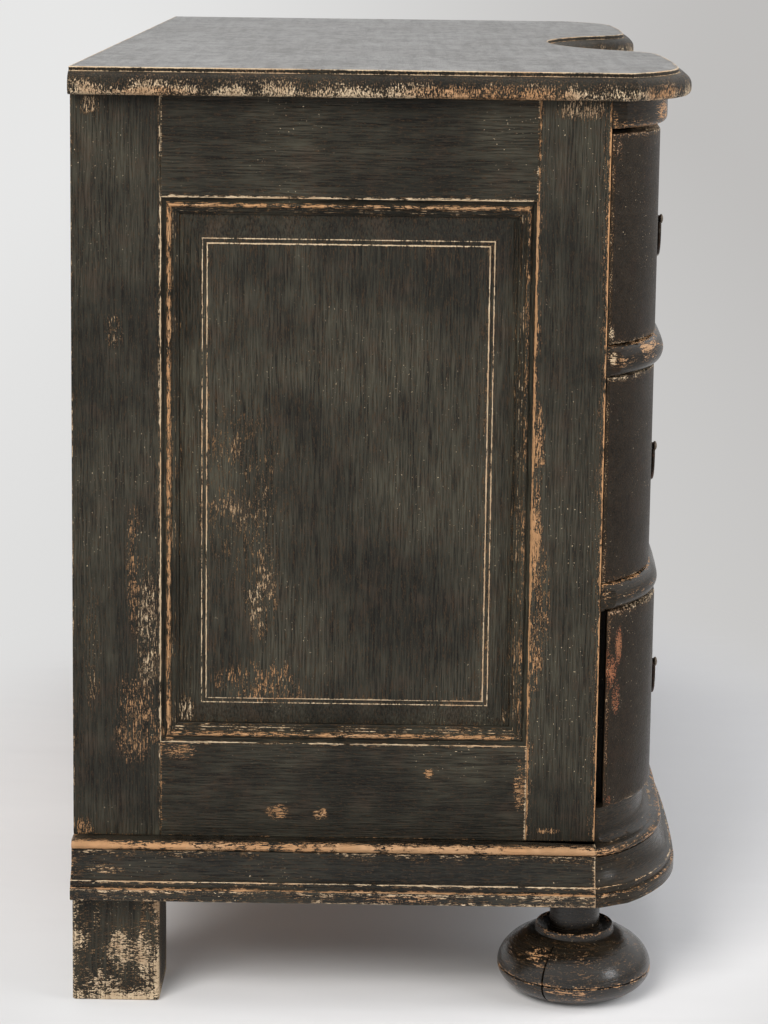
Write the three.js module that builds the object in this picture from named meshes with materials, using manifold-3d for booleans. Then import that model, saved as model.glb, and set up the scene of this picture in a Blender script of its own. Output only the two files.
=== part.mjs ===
// A commode with a serpentine front and three drawers, in painted wood with iron drop handles.
// Millimetres, +Z up, the front faces -Y. The origin stands under the middle of the bounding box.
import * as THREE from "three";
import Module from "manifold-3d";

const wasm = await Module();
wasm.setup();

// Case
const CASE_WIDTH = 1120;
const CASE_DEPTH = 474;
const FOOT_HEIGHT = 101;
const BASE_HEIGHT = 52;
const FASCIA_HEIGHT = 32;
const LOWER_OPENING = 183;
const MIDDLE_OPENING = 188;
const UPPER_OPENING = 192;
const LOWER_RAIL_HEIGHT = 25;
const UPPER_RAIL_HEIGHT = 28;
const FRIEZE_HEIGHT = 25;
const TOP_THICKNESS = 24;

// Plan of the front, from a corner to the middle, measured forward of the stiles' front edge
const FACE_START = 3;
const CORNER_RADIUS = 145;
const CORNER_ANGLE = THREE.MathUtils.degToRad(48);
const LOBE_ANGLE = THREE.MathUtils.degToRad(2.5);
const THROAT_RADIUS = 90;
const THROAT_ANGLE = THREE.MathUtils.degToRad(55);
const HOLLOW_WIDTH = 332;
const HOLLOW_SAG = 59;
const ARC_STEPS = 5;

// Side frames
const FRAME_THICKNESS = 28;
const REAR_STILE_WIDTH = 79;
const FRONT_STILE_WIDTH = 63;
const TOP_RAIL_HEIGHT = 89;
const BOTTOM_RAIL_HEIGHT = 88;
const MOULDING_WIDTH = 16;
const MOULDING_DEPTH = 16;
const MOULDING_ROOT = 5;
const MOULDING_FALL = 10;

// Raised side panels
const TONGUE_THICKNESS = 6;
const BEVEL_WIDTH = 21;
const BEVEL_RISE = 7;
const FIELD_FILLET = 4;
const FIELD_RECESS = 3;
const FIELD_STEP = 1.5;

// Pieces across the front
const CROSS_DEPTH = 85;
const RAIL_NOSE = 8;
const RAIL_TUCK = 4;
const FRIEZE_PROUD = 6;
const FRIEZE_ROUND = 7;
const FASCIA_COVE = 10;
const NOSE_STEPS = 8;
const ROUND_STEPS = 4;

// Base moulding
const BASE_INSET = 40;
const BASE_SHELF = 13;
const BASE_BEAD = 9;
const BASE_BEAD_PROUD = 5;
const BASE_COVE_TOP = 16;
const BASE_COVE_HEIGHT = 25;
const BASE_REACH = 31;
const BASE_STEP = 3;
const BASE_UPPER_FILLET = 6;
const BASE_FILLET_CHAMFER = 1.5;

// Top board
const TOP_SIDE_OVERHANG = 20;
const TOP_FRONT_OVERHANG = 27;
const TOP_EDGE_SETBACK = 12;
const TOP_EDGE_FILLET = 4;
const TOP_LIP = 8;
const TOP_LIP_CHAMFER = 2;

// Feet
const BUN_RADIUS = 71;
const BUN_HEIGHT = 54;
const BUN_FLAT_RADIUS = 46;
const BUN_SETBACK = 14;
const BUN_INSET = 40;
const NECK_RADIUS = 23;
const COLLAR_RADIUS = 36;
const COLLAR_HEIGHT = 9;
const BUN_SIDES = 32;
const BUN_STEPS = 12;
const BLOCK_WIDTH = 79;
const BLOCK_PROUD = 12;

// Boards inside the case
const BACK_THICKNESS = 10;
const BACK_INSET = 3;
const FLOOR_THICKNESS = 10;
const RUNNER_WIDTH = 26;
const RUNNER_THICKNESS = 20;

// Drawers
const FRONT_THICKNESS = 24;
const FRONT_GAP = 1;
const UPPER_FRONT_GAP = 5;
const FRONT_END_GAP = 1;
const FRONT_SEAT_GAP = 0.8;
const FRONT_CORNER_DEPTH = 16;
const FRONT_CORNER_WIDTH = 18;
const BOX_SIDE_GAP = 1;
const BOX_SIDE_THICKNESS = 14;
const BOX_HEADROOM = 14;
const BOX_BACK_THICKNESS = 12;
const BOX_BACK_GAP = 12;
const BOX_FLOOR_LIFT = 6;
const BOX_FLOOR_THICKNESS = 8;
const LOWER_DRAWER_PULL = 6;

// Handles and keyhole plates
const HANDLE_SPAN = 90;
const HANDLE_LIFT = 2;
const ROSETTE_RADIUS = 14;
const PLATE_THICKNESS = 1.5;
const PLATE_BAR = 9;
const PLATE_ARC_STEPS = 8;
const POST_RADIUS = 4.5;
const POST_WAIST = 3.4;
const POST_LENGTH = 7;
const POST_PIVOT = 4;
const POST_SIDES = 10;
const BAIL_WIRE_RADIUS = 2.2;
const BAIL_DROP = 38;
const BAIL_STEPS = 20;
const BAIL_SIDES = 6;
const KEYPLATE_WIDTH = 30;
const KEYPLATE_HEIGHT = 52;
const KEYPLATE_ARC_STEPS = 12;
const KEYHOLE_RADIUS = 3.2;
const KEYHOLE_DROP = 11;
const KEYHOLE_SLOT_WIDTH = 3.4;

// Fits
const SEAM = 0.2;
const RUNNING_GAP = 0.3;
const OVERRUN = 20;

const half = CASE_WIDTH / 2;
const inner = half - FRAME_THICKNESS;
const baseBottom = FOOT_HEIGHT;
const baseTop = baseBottom + BASE_HEIGHT;
const openings = stackOpenings();
const caseTop = openings.upper.top + FRIEZE_HEIGHT;
const plan = frontPlan();

const paint = {
  case: { color: 0x2e2c28, roughness: 0.55, metalness: 0 },
  top: { color: 0x34322e, roughness: 0.45, metalness: 0 },
  front: { color: 0x2b2926, roughness: 0.5, metalness: 0 },
  inside: { color: 0x8a6a45, roughness: 0.8, metalness: 0 },
  iron: { color: 0x2a2724, roughness: 0.45, metalness: 0.8 },
};

// Heights of the three drawer openings, each between the piece below it and the piece above it.
function stackOpenings() {
  const lower = { bottom: baseTop + FASCIA_HEIGHT };
  lower.top = lower.bottom + LOWER_OPENING;
  const middle = { bottom: lower.top + LOWER_RAIL_HEIGHT };
  middle.top = middle.bottom + MIDDLE_OPENING;
  const upper = { bottom: middle.top + UPPER_RAIL_HEIGHT };
  upper.top = upper.bottom + UPPER_OPENING;
  return { lower, middle, upper };
}

// Points on an arc, by the slope angle that it has there. A bulge is 1 and a hollow is -1.
function arc(centreX, centreForward, radius, from, to, bulge) {
  const points = [];
  for (let i = 0; i <= ARC_STEPS; i++) {
    const angle = from + ((to - from) * i) / ARC_STEPS;
    const x = centreX + radius * Math.sin(angle);
    points.push(new THREE.Vector2(x, centreForward + bulge * radius * Math.cos(angle)));
  }
  return points;
}

// Outward mitre vector at each point of an open line that runs from left to right.
function withMitres(points) {
  const normals = points.slice(1).map((p, i) => {
    const along = p.clone().sub(points[i]).normalize();
    return new THREE.Vector2(-along.y, along.x);
  });
  return points.map((p, i) => {
    const before = normals[Math.max(i - 1, 0)];
    const after = normals[Math.min(i, normals.length - 1)];
    const mitre = before.clone().add(after).divideScalar(1 + before.dot(after));
    return { x: p.x, forward: p.y, mitre };
  });
}

// The drawer faces' line: a rounded corner, a broad lobe, a tight throat, a kink and a hollow middle.
function frontPlan() {
  const cornerX = half - CORNER_RADIUS * Math.sin(CORNER_ANGLE);
  const cornerCentre = FACE_START - CORNER_RADIUS * Math.cos(CORNER_ANGLE);
  const corner = arc(cornerX, cornerCentre, CORNER_RADIUS, CORNER_ANGLE, LOBE_ANGLE, 1);
  const shoulder = corner[corner.length - 1];

  const kinkX = HOLLOW_WIDTH / 2;
  const throatX = kinkX + THROAT_RADIUS * Math.sin(THROAT_ANGLE);
  const throatCentre = shoulder.y - THROAT_RADIUS * Math.cos(LOBE_ANGLE);
  const throat = arc(throatX, throatCentre, THROAT_RADIUS, -LOBE_ANGLE, -THROAT_ANGLE, 1);
  const kink = throat[throat.length - 1];

  const lobeX = (shoulder.x + throat[0].x) / 2;
  const lobeRadius = (shoulder.x - lobeX) / Math.sin(LOBE_ANGLE);
  const lobeCentre = shoulder.y - lobeRadius * Math.cos(LOBE_ANGLE);
  const lobe = arc(lobeX, lobeCentre, lobeRadius, LOBE_ANGLE, -LOBE_ANGLE, 1);

  const hollowRadius = (kinkX ** 2 + HOLLOW_SAG ** 2) / (2 * HOLLOW_SAG);
  const hollowCentre = kink.y - HOLLOW_SAG + hollowRadius;
  const hollow = arc(0, hollowCentre, hollowRadius, Math.asin(kinkX / hollowRadius), 0, -1);

  const right = [...corner, ...lobe.slice(1), ...throat.slice(1), ...hollow.slice(1)];
  const left = right.slice(0, -1).map((p) => new THREE.Vector2(-p.x, p.y));
  const line = withMitres([...left, ...right.reverse()]);
  const [middle, beside] = [hollow[ARC_STEPS], hollow[ARC_STEPS - 1]];
  const keyForward = middle.y + ((beside.y - middle.y) * KEYPLATE_WIDTH) / 2 / beside.x;
  return { line, lobeX, lobeForward: lobeCentre + lobeRadius, keyForward };
}

// A closed skin over rings of equal length, capped at both ends, its faces turned outwards.
function skin(rings, capOf) {
  const count = rings[0].length;
  const position = rings.flat().flatMap((p) => [p.x, p.y, p.z]);
  const index = [];
  for (let r = 0; r + 1 < rings.length; r++) {
    for (let i = 0; i < count; i++) {
      const next = (i + 1) % count;
      const [a, b] = [r * count + i, r * count + next];
      const [c, d] = [a + count, b + count];
      index.push(a, b, c, b, d, c);
    }
  }
  const last = (rings.length - 1) * count;
  for (const [a, b, c] of capTriangles(rings[0].map(capOf))) index.push(b, a, c);
  for (const [a, b, c] of capTriangles(rings[rings.length - 1].map(capOf))) {
    index.push(last + a, last + b, last + c);
  }
  return facingOut(position, index);
}

// Triangles of a flat ring, all turned the way that the ring runs.
function capTriangles(ring) {
  const turn = THREE.ShapeUtils.isClockWise(ring) ? -1 : 1;
  return THREE.ShapeUtils.triangulateShape(ring, []).map(([a, b, c]) => {
    const [p, q, r] = [ring[a], ring[b], ring[c]];
    const cross = (q.x - p.x) * (r.y - p.y) - (q.y - p.y) * (r.x - p.x);
    return cross * turn < 0 ? [a, c, b] : [a, b, c];
  });
}

// Geometry from positions and an index, with the index reversed where the volume comes out negative.
function facingOut(position, index) {
  const at = (i) => new THREE.Vector3().fromArray(position, 3 * i);
  let volume = 0;
  for (let i = 0; i < index.length; i += 3) {
    volume += at(index[i]).dot(at(index[i + 1]).cross(at(index[i + 2])));
  }
  if (volume < 0) index.reverse();
  const geometry = new THREE.BufferGeometry();
  geometry.setAttribute("position", new THREE.Float32BufferAttribute(position, 3));
  geometry.setIndex(index);
  return geometry;
}

function toSolid(geometry) {
  const vertProperties = new Float32Array(geometry.attributes.position.array);
  const triVerts = new Uint32Array(geometry.index.array);
  return new wasm.Manifold(new wasm.Mesh({ numProp: 3, vertProperties, triVerts }));
}

function toGeometry(solid) {
  const mesh = solid.getMesh();
  const geometry = new THREE.BufferGeometry();
  geometry.setAttribute("position", new THREE.BufferAttribute(mesh.vertProperties, 3));
  geometry.setIndex(new THREE.BufferAttribute(mesh.triVerts, 1));
  return geometry;
}

// A block between two corners. Forward is -Y.
function block(x0, x1, forward0, forward1, z0, z1) {
  const ring = (z) => [
    new THREE.Vector3(x0, -forward0, z),
    new THREE.Vector3(x1, -forward0, z),
    new THREE.Vector3(x1, -forward1, z),
    new THREE.Vector3(x0, -forward1, z),
  ];
  return skin([ring(z0), ring(z1)], flatPlan);
}

const flatPlan = (p) => new THREE.Vector2(p.x, p.y);
const sideView = (p) => new THREE.Vector2(p.y, p.z);
const endView = (p) => new THREE.Vector2(p.x, p.z);
const cornerView = (p) => new THREE.Vector2(Math.abs(p.x) - p.y, p.z);

// A board with an outline in plan, given as [x, forward], between two heights.
function planBoard(outline, z0, z1) {
  const ring = (z) => outline.map(([x, forward]) => new THREE.Vector3(x, -forward, z));
  return skin([ring(z0), ring(z1)], flatPlan);
}

// Sweeps a section along the front. Each point of it is either out from the face or at a fixed depth.
// The corner vector says where the section's reach goes at the two ends.
function sweepFront(section, cornerVector, line = plan.line) {
  const rings = line.map((vertex, i) => {
    const end = i === 0 || i === line.length - 1;
    const mitre = end ? { x: Math.sign(vertex.x) * cornerVector.x, y: cornerVector.y } : vertex.mitre;
    return section.map((p) => {
      if (p.at !== undefined) return new THREE.Vector3(vertex.x, -p.at, p.z);
      return new THREE.Vector3(vertex.x + mitre.x * p.out, -(vertex.forward + mitre.y * p.out), p.z);
    });
  });
  return skin(rings, cornerView);
}

// Cuts a piece back from the two front stiles, or from any pair of blocks beside the case's middle.
function clearOfSides(geometry, innerX, forward) {
  const far = half + OVERRUN + BASE_REACH;
  const reach = CROSS_DEPTH + OVERRUN;
  let solid = toSolid(geometry);
  for (const side of [-1, 1]) {
    const [x0, x1] = side < 0 ? [-far, -innerX] : [innerX, far];
    solid = solid.subtract(toSolid(block(x0, x1, -reach, forward, -OVERRUN, caseTop + OVERRUN)));
  }
  return toGeometry(solid);
}

// Points of a curve that turns a quarter, from one [out, z] corner to another. A cove is hollow.
function quarter(from, to, steps, cove) {
  const points = [];
  for (let i = 0; i <= steps; i++) {
    const angle = ((Math.PI / 2) * i) / steps;
    const [rise, fall] = [Math.sin(angle), 1 - Math.cos(angle)];
    const [along, across] = cove ? [fall, rise] : [rise, fall];
    points.push({ out: from[0] + (to[0] - from[0]) * along, z: from[1] + (to[1] - from[1]) * across });
  }
  return points;
}

// Cross pieces of the front
const DYING_SHARE = 0.4;
const dying = { x: 0, y: DYING_SHARE };

function dividingRail(z0, z1) {
  const middle = (z0 + z1) / 2;
  const rise = (z1 - z0) / 2 - SEAM;
  const section = [
    { at: -CROSS_DEPTH, z: middle + rise },
    { at: -CROSS_DEPTH, z: middle - rise },
  ];
  for (let i = 0; i <= NOSE_STEPS; i++) {
    const angle = -Math.PI / 2 + (Math.PI * i) / NOSE_STEPS;
    const out = (RAIL_NOSE + RAIL_TUCK) * Math.cos(angle) - RAIL_TUCK;
    section.push({ out, z: middle + rise * Math.sin(angle) });
  }
  return clearOfSides(sweepFront(section, dying), inner - SEAM, SEAM);
}

function frieze() {
  const z0 = openings.upper.top;
  const z1 = caseTop - SEAM;
  const section = [
    { at: -CROSS_DEPTH, z: z1 },
    { at: -CROSS_DEPTH, z: z0 },
    ...quarter([FRIEZE_PROUD - FRIEZE_ROUND, z0], [FRIEZE_PROUD, z0 + FRIEZE_ROUND], ROUND_STEPS, false),
    { out: FRIEZE_PROUD, z: z1 },
  ];
  return clearOfSides(sweepFront(section, dying), inner - SEAM, SEAM);
}

function fascia() {
  const z0 = baseTop + SEAM;
  const z1 = openings.lower.bottom;
  const section = [
    { at: -CROSS_DEPTH, z: z1 },
    { at: -CROSS_DEPTH, z: z0 },
    ...quarter([0, z0 + FASCIA_COVE], [FASCIA_COVE, z0], ROUND_STEPS, true).reverse(),
    { out: 0, z: z1 },
  ];
  return clearOfSides(sweepFront(section, dying), inner - SEAM, SEAM);
}

// The base moulding's section from its shelf down: a bead, a cove and two fillets.
function baseProfile() {
  const z1 = baseTop;
  const beadBottom = z1 - BASE_BEAD;
  const coveBottom = beadBottom - BASE_COVE_HEIGHT;
  const fillets = coveBottom - BASE_UPPER_FILLET;
  const points = [{ out: BASE_SHELF, z: z1 }];
  for (let i = 1; i < ROUND_STEPS; i++) {
    const angle = (Math.PI * i) / ROUND_STEPS;
    const z = z1 - (BASE_BEAD * (1 - Math.cos(angle))) / 2;
    points.push({ out: BASE_SHELF + BASE_BEAD_PROUD * Math.sin(angle), z });
  }
  points.push({ out: BASE_SHELF, z: beadBottom });
  const coveEnd = [BASE_REACH - BASE_STEP, coveBottom];
  points.push(...quarter([BASE_COVE_TOP, beadBottom], coveEnd, ROUND_STEPS, true));
  points.push({ out: BASE_REACH - BASE_STEP, z: fillets });
  points.push({ out: BASE_REACH, z: fillets - BASE_FILLET_CHAMFER });
  points.push({ out: BASE_REACH, z: baseBottom + SEAM });
  return points;
}

// The front length's ends run back to the side lengths, square to the case's corners.
function baseFront() {
  const sideways = (x, forward) => ({ x, forward, mitre: { x: Math.sign(x), y: 0 } });
  const left = plan.line[0];
  const right = plan.line[plan.line.length - 1];
  const line = [
    sideways(-half, SEAM),
    sideways(left.x, left.forward),
    ...plan.line.slice(1, -1),
    sideways(right.x, right.forward),
    sideways(half, SEAM),
  ];
  const profile = baseProfile();
  const section = [
    { at: -CROSS_DEPTH, z: baseTop },
    ...profile,
    { at: -CROSS_DEPTH, z: profile[profile.length - 1].z },
  ];
  return clearOfSides(sweepFront(section, { x: 1, y: 0 }, line), half - BASE_INSET - SEAM, SEAM);
}

function baseSide() {
  const profile = baseProfile();
  const inside = -BASE_INSET;
  const bottom = profile[profile.length - 1].z;
  const outline = [{ out: inside, z: baseTop }, ...profile, { out: inside, z: bottom }];
  const ring = (forward) => outline.map((p) => new THREE.Vector3(half + p.out, -forward, p.z));
  return skin([ring(-CASE_DEPTH), ring(0)], endView);
}

// Side frame members are drawn for the right side and mirrored for the left.
// A strip carries the moulding that runs round the panel, mitred at its ends.
// Its points are shares of the moulding's width and fall: an arris, a cove, a bead and two steps.
const mouldingShares = [
  [0, 0],
  [0.09, 0.3],
  [0.25, 0.42],
  [0.36, 0.18],
  [0.5, 0.12],
  [0.62, 0.4],
  [0.66, 0.6],
  [0.82, 0.68],
  [0.85, 0.9],
  [1, 1],
];
const mouldingSection = [
  { in: -MOULDING_ROOT, drop: 0 },
  ...mouldingShares.map(([inward, fall]) => ({ in: inward * MOULDING_WIDTH, drop: fall * MOULDING_FALL })),
  { in: MOULDING_WIDTH, drop: MOULDING_DEPTH },
  { in: -MOULDING_ROOT, drop: MOULDING_DEPTH },
];

// place(inward, along) gives the strip's point in the side's plane as { forward, z }.
function mouldingStrip(place, start, end, trim, capOf) {
  const ring = (from, turn) =>
    mouldingSection.map((p) => {
      const spot = place(p.in, from + turn * Math.max(p.in, 0) + turn * trim);
      return new THREE.Vector3(half - p.drop, -spot.forward, spot.z);
    });
  return skin([ring(start, 1), ring(end, -1)], capOf);
}

const openingRear = -(CASE_DEPTH - REAR_STILE_WIDTH);
const openingFront = -FRONT_STILE_WIDTH;
const openingBottom = baseTop + SEAM + BOTTOM_RAIL_HEIGHT;
const openingTop = caseTop - SEAM - TOP_RAIL_HEIGHT;

function joined(board, strip) {
  return toGeometry(toSolid(board).add(toSolid(strip)));
}

function rearStile() {
  const board = block(inner, half, -CASE_DEPTH, openingRear, baseTop + SEAM, caseTop - SEAM);
  const place = (inward, along) => ({ forward: openingRear + inward, z: along });
  return joined(board, mouldingStrip(place, openingBottom, openingTop, 0, flatPlan));
}

function frontStile() {
  const board = block(inner, half, openingFront, 0, baseTop + SEAM, caseTop - SEAM);
  const place = (inward, along) => ({ forward: openingFront - inward, z: along });
  return joined(board, mouldingStrip(place, openingBottom, openingTop, 0, flatPlan));
}

function sideTopRail() {
  const board = block(inner, half, openingRear + SEAM, openingFront - SEAM, openingTop, caseTop - SEAM);
  const place = (inward, along) => ({ forward: along, z: openingTop - inward });
  return joined(board, mouldingStrip(place, openingRear, openingFront, SEAM, endView));
}

function sideBottomRail() {
  const z0 = baseTop + SEAM;
  const board = block(inner, half, openingRear + SEAM, openingFront - SEAM, z0, openingBottom);
  const place = (inward, along) => ({ forward: along, z: openingBottom + inward });
  return joined(board, mouldingStrip(place, openingRear, openingFront, SEAM, endView));
}

// The panel lies behind the moulding by its tongue, and rises by a bevel and a fillet to its field.
function sidePanel() {
  const ring = (inset, depth) => [
    new THREE.Vector3(half - depth, -(openingRear + inset), openingBottom + inset),
    new THREE.Vector3(half - depth, -(openingFront - inset), openingBottom + inset),
    new THREE.Vector3(half - depth, -(openingFront - inset), openingTop - inset),
    new THREE.Vector3(half - depth, -(openingRear + inset), openingTop - inset),
  ];
  const tongueFace = MOULDING_DEPTH + SEAM;
  const bevelStart = MOULDING_WIDTH + RUNNING_GAP;
  const bevelEnd = MOULDING_WIDTH + BEVEL_WIDTH;
  const bevelTop = FIELD_RECESS + FIELD_STEP;
  const rings = [
    ring(SEAM, tongueFace + TONGUE_THICKNESS),
    ring(SEAM, tongueFace),
    ring(bevelStart, tongueFace),
    ring(bevelStart, bevelTop + BEVEL_RISE),
    ring(bevelEnd, bevelTop),
    ring(bevelEnd + FIELD_FILLET, bevelTop),
    ring(bevelEnd + FIELD_FILLET, FIELD_RECESS),
  ];
  return skin(rings, sideView);
}

function mirrored(geometry) {
  const copy = geometry.clone().scale(-1, 1, 1);
  copy.index.array.reverse();
  return copy;
}

// The top board: its lip's outline in plan, and the thumbnail moulding worked on three edges.
function topBoard() {
  const sideX = half + TOP_SIDE_OVERHANG;
  const front = plan.line.map(({ x, forward, mitre }) => {
    return new THREE.Vector2(x + mitre.x * TOP_FRONT_OVERHANG, forward + mitre.y * TOP_FRONT_OVERHANG);
  });
  const cornerForward = front[0].y - (sideX - Math.abs(front[0].x)) * Math.tan(CORNER_ANGLE);
  const lip = withMitres([
    new THREE.Vector2(-sideX, -CASE_DEPTH),
    new THREE.Vector2(-sideX, cornerForward),
    ...front.slice(1, -1),
    new THREE.Vector2(sideX, cornerForward),
    new THREE.Vector2(sideX, -CASE_DEPTH),
  ]);
  const arrisZ = caseTop + TOP_THICKNESS;
  const lipTop = caseTop + TOP_LIP;
  const profile = [
    { out: -TOP_LIP_CHAMFER, z: caseTop },
    { out: 0, z: caseTop + TOP_LIP_CHAMFER },
    ...quarter([0, lipTop], [-TOP_EDGE_SETBACK, arrisZ - TOP_EDGE_FILLET], ROUND_STEPS, true),
    { out: -TOP_EDGE_SETBACK, z: arrisZ },
  ];
  const rings = profile.map(({ out, z }) =>
    lip.map((v) => new THREE.Vector3(v.x + v.mitre.x * out, -(v.forward + v.mitre.y * out), z)),
  );
  return skin(rings, flatPlan);
}

// Feet
function bunFoot() {
  const collarBottom = BUN_HEIGHT;
  const top = baseBottom;
  const profile = [new THREE.Vector2(0, 0), new THREE.Vector2(BUN_FLAT_RADIUS, 0)];
  const flatAngle = Math.asin(BUN_FLAT_RADIUS / BUN_RADIUS);
  const collarAngle = Math.PI - Math.asin(NECK_RADIUS / BUN_RADIUS);
  const spread = Math.cos(flatAngle) - Math.cos(collarAngle);
  for (let i = 1; i < BUN_STEPS; i++) {
    const angle = flatAngle + ((collarAngle - flatAngle) * i) / BUN_STEPS;
    const z = (BUN_HEIGHT * (Math.cos(flatAngle) - Math.cos(angle))) / spread;
    profile.push(new THREE.Vector2(BUN_RADIUS * Math.sin(angle), z));
  }
  profile.push(new THREE.Vector2(COLLAR_RADIUS, collarBottom));
  profile.push(new THREE.Vector2(COLLAR_RADIUS, collarBottom + COLLAR_HEIGHT));
  profile.push(new THREE.Vector2(NECK_RADIUS, collarBottom + COLLAR_HEIGHT));
  profile.push(new THREE.Vector2(NECK_RADIUS, top));
  profile.push(new THREE.Vector2(0, top));
  return new THREE.LatheGeometry(profile, BUN_SIDES).rotateX(Math.PI / 2);
}

function blockFoot() {
  const outside = half + BLOCK_PROUD;
  return block(outside - BLOCK_WIDTH, outside, -CASE_DEPTH, -CASE_DEPTH + BLOCK_WIDTH, 0, baseBottom);
}

// Boards inside the case
function backPanel() {
  const x = inner - SEAM;
  const rear = -CASE_DEPTH + BACK_INSET;
  return block(-x, x, rear, rear + BACK_THICKNESS, baseTop + SEAM, caseTop - SEAM);
}

const backFace = -CASE_DEPTH + BACK_INSET + BACK_THICKNESS;

function floorBoard() {
  const x = inner - SEAM;
  const z0 = baseTop + SEAM;
  return block(-x, x, backFace + SEAM, -CROSS_DEPTH - SEAM, z0, z0 + FLOOR_THICKNESS);
}

function runner(opening) {
  const x = inner - SEAM;
  const z1 = opening.bottom;
  return block(x - RUNNER_WIDTH, x, backFace + SEAM, -CROSS_DEPTH - SEAM, z1 - RUNNER_THICKNESS, z1);
}

// Drawers
const boxOutside = inner - BOX_SIDE_GAP;
const boxInside = boxOutside - BOX_SIDE_THICKNESS;
const boxRear = backFace + BOX_BACK_GAP;

// The drawer front's inner line from left to right, kept a gap behind it: a thick corner each side.
function innerLine(gap) {
  const cornerX = boxOutside - FRONT_CORNER_WIDTH - gap;
  const depth = -FRONT_CORNER_DEPTH - gap;
  const inset = FRONT_THICKNESS + gap;
  const behind = plan.line
    .map(({ x, forward, mitre }) => [x - mitre.x * inset, forward - mitre.y * inset])
    .filter(([x]) => Math.abs(x) < cornerX);
  return [[-cornerX, depth], ...behind, [cornerX, depth]];
}

function drawerFront(z0, z1) {
  const end = half - FRONT_END_GAP;
  const face = plan.line.map((v) => [THREE.MathUtils.clamp(v.x, -end, end), v.forward]);
  const behind = [
    [-end, FRONT_SEAT_GAP],
    [-boxOutside, FRONT_SEAT_GAP],
    [-boxOutside, -FRONT_CORNER_DEPTH],
    ...innerLine(0),
    [boxOutside, -FRONT_CORNER_DEPTH],
    [boxOutside, FRONT_SEAT_GAP],
    [end, FRONT_SEAT_GAP],
  ];
  return planBoard([...face, ...behind.reverse()], z0, z1);
}

function drawerSide(side, z0, z1) {
  const [x0, x1] = side < 0 ? [-boxOutside, -boxInside] : [boxInside, boxOutside];
  return block(x0, x1, boxRear, -FRONT_CORNER_DEPTH - RUNNING_GAP, z0, z1);
}

function drawerBack(z0, z1) {
  const x = boxInside - RUNNING_GAP;
  return block(-x, x, boxRear, boxRear + BOX_BACK_THICKNESS, z0, z1);
}

function drawerBottom(z0) {
  const x = boxInside - RUNNING_GAP;
  const rear = boxRear + BOX_BACK_THICKNESS + RUNNING_GAP;
  const front = innerLine(RUNNING_GAP);
  const shoulder = front[0][1];
  const outline = [[-x, rear], [-x, shoulder], ...front, [x, shoulder], [x, rear]];
  return planBoard(outline, z0, z0 + BOX_FLOOR_THICKNESS);
}

// Handles, drawn about the middle of their plate, which lies flat on the lobe.
function handlePlate() {
  const reach = HANDLE_SPAN / 2;
  const meet = Math.asin(PLATE_BAR / 2 / ROSETTE_RADIUS);
  const outline = [];
  for (const side of [1, -1]) {
    for (let i = 0; i <= 2 * PLATE_ARC_STEPS; i++) {
      const angle = (Math.PI - meet) * (i / PLATE_ARC_STEPS - 1);
      const x = side * (reach + ROSETTE_RADIUS * Math.cos(angle));
      outline.push(new THREE.Vector2(x, side * ROSETTE_RADIUS * Math.sin(angle)));
    }
  }
  const ring = (out) => outline.map((p) => new THREE.Vector3(p.x, -out, p.y));
  let solid = toSolid(skin([ring(RUNNING_GAP), ring(RUNNING_GAP + PLATE_THICKNESS)], endView));
  for (const side of [-1, 1]) solid = solid.add(toSolid(handlePost(side * reach)));
  return toGeometry(solid);
}

// A post with a waist and a small knob, rooted in the plate.
function handlePost(x) {
  const root = RUNNING_GAP + PLATE_THICKNESS / 2;
  const face = RUNNING_GAP + PLATE_THICKNESS;
  const profile = [
    [POST_RADIUS, root],
    [POST_RADIUS, face],
    [POST_WAIST, face + POST_PIVOT / 2],
    [POST_RADIUS, face + POST_PIVOT],
    [POST_RADIUS, face + (POST_PIVOT + POST_LENGTH) / 2],
    [POST_WAIST, face + POST_LENGTH],
  ];
  const rings = profile.map(([radius, out]) => {
    const ring = [];
    for (let i = 0; i < POST_SIDES; i++) {
      const angle = (2 * Math.PI * i) / POST_SIDES;
      ring.push(new THREE.Vector3(x + radius * Math.cos(angle), -out, radius * Math.sin(angle)));
    }
    return ring;
  });
  return skin(rings, endView);
}

// The bail hangs between the posts: short level ends, then a bow that swells below them.
// Its points are shares of its half span and its drop.
const bowShares = [
  [1, 0],
  [0.93, 0.01],
  [0.89, 0.1],
  [0.9, 0.32],
  [0.8, 0.68],
  [0.48, 0.94],
  [0, 1],
];

function bail() {
  const reach = HANDLE_SPAN / 2 - POST_RADIUS - RUNNING_GAP;
  const down = bowShares.map(([x, z]) => new THREE.Vector3(-x * reach, 0, -z * BAIL_DROP));
  const up = down.slice(0, -1).reverse().map((p) => new THREE.Vector3(-p.x, p.y, p.z));
  const section = new THREE.Shape();
  for (let i = 0; i < BAIL_SIDES; i++) {
    const angle = (2 * Math.PI * i) / BAIL_SIDES;
    const [x, y] = [BAIL_WIRE_RADIUS * Math.cos(angle), BAIL_WIRE_RADIUS * Math.sin(angle)];
    if (i === 0) section.moveTo(x, y);
    else section.lineTo(x, y);
  }
  const extrudePath = new THREE.CatmullRomCurve3([...down, ...up]);
  return new THREE.ExtrudeGeometry(section, { steps: BAIL_STEPS, extrudePath, bevelEnabled: false });
}

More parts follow.
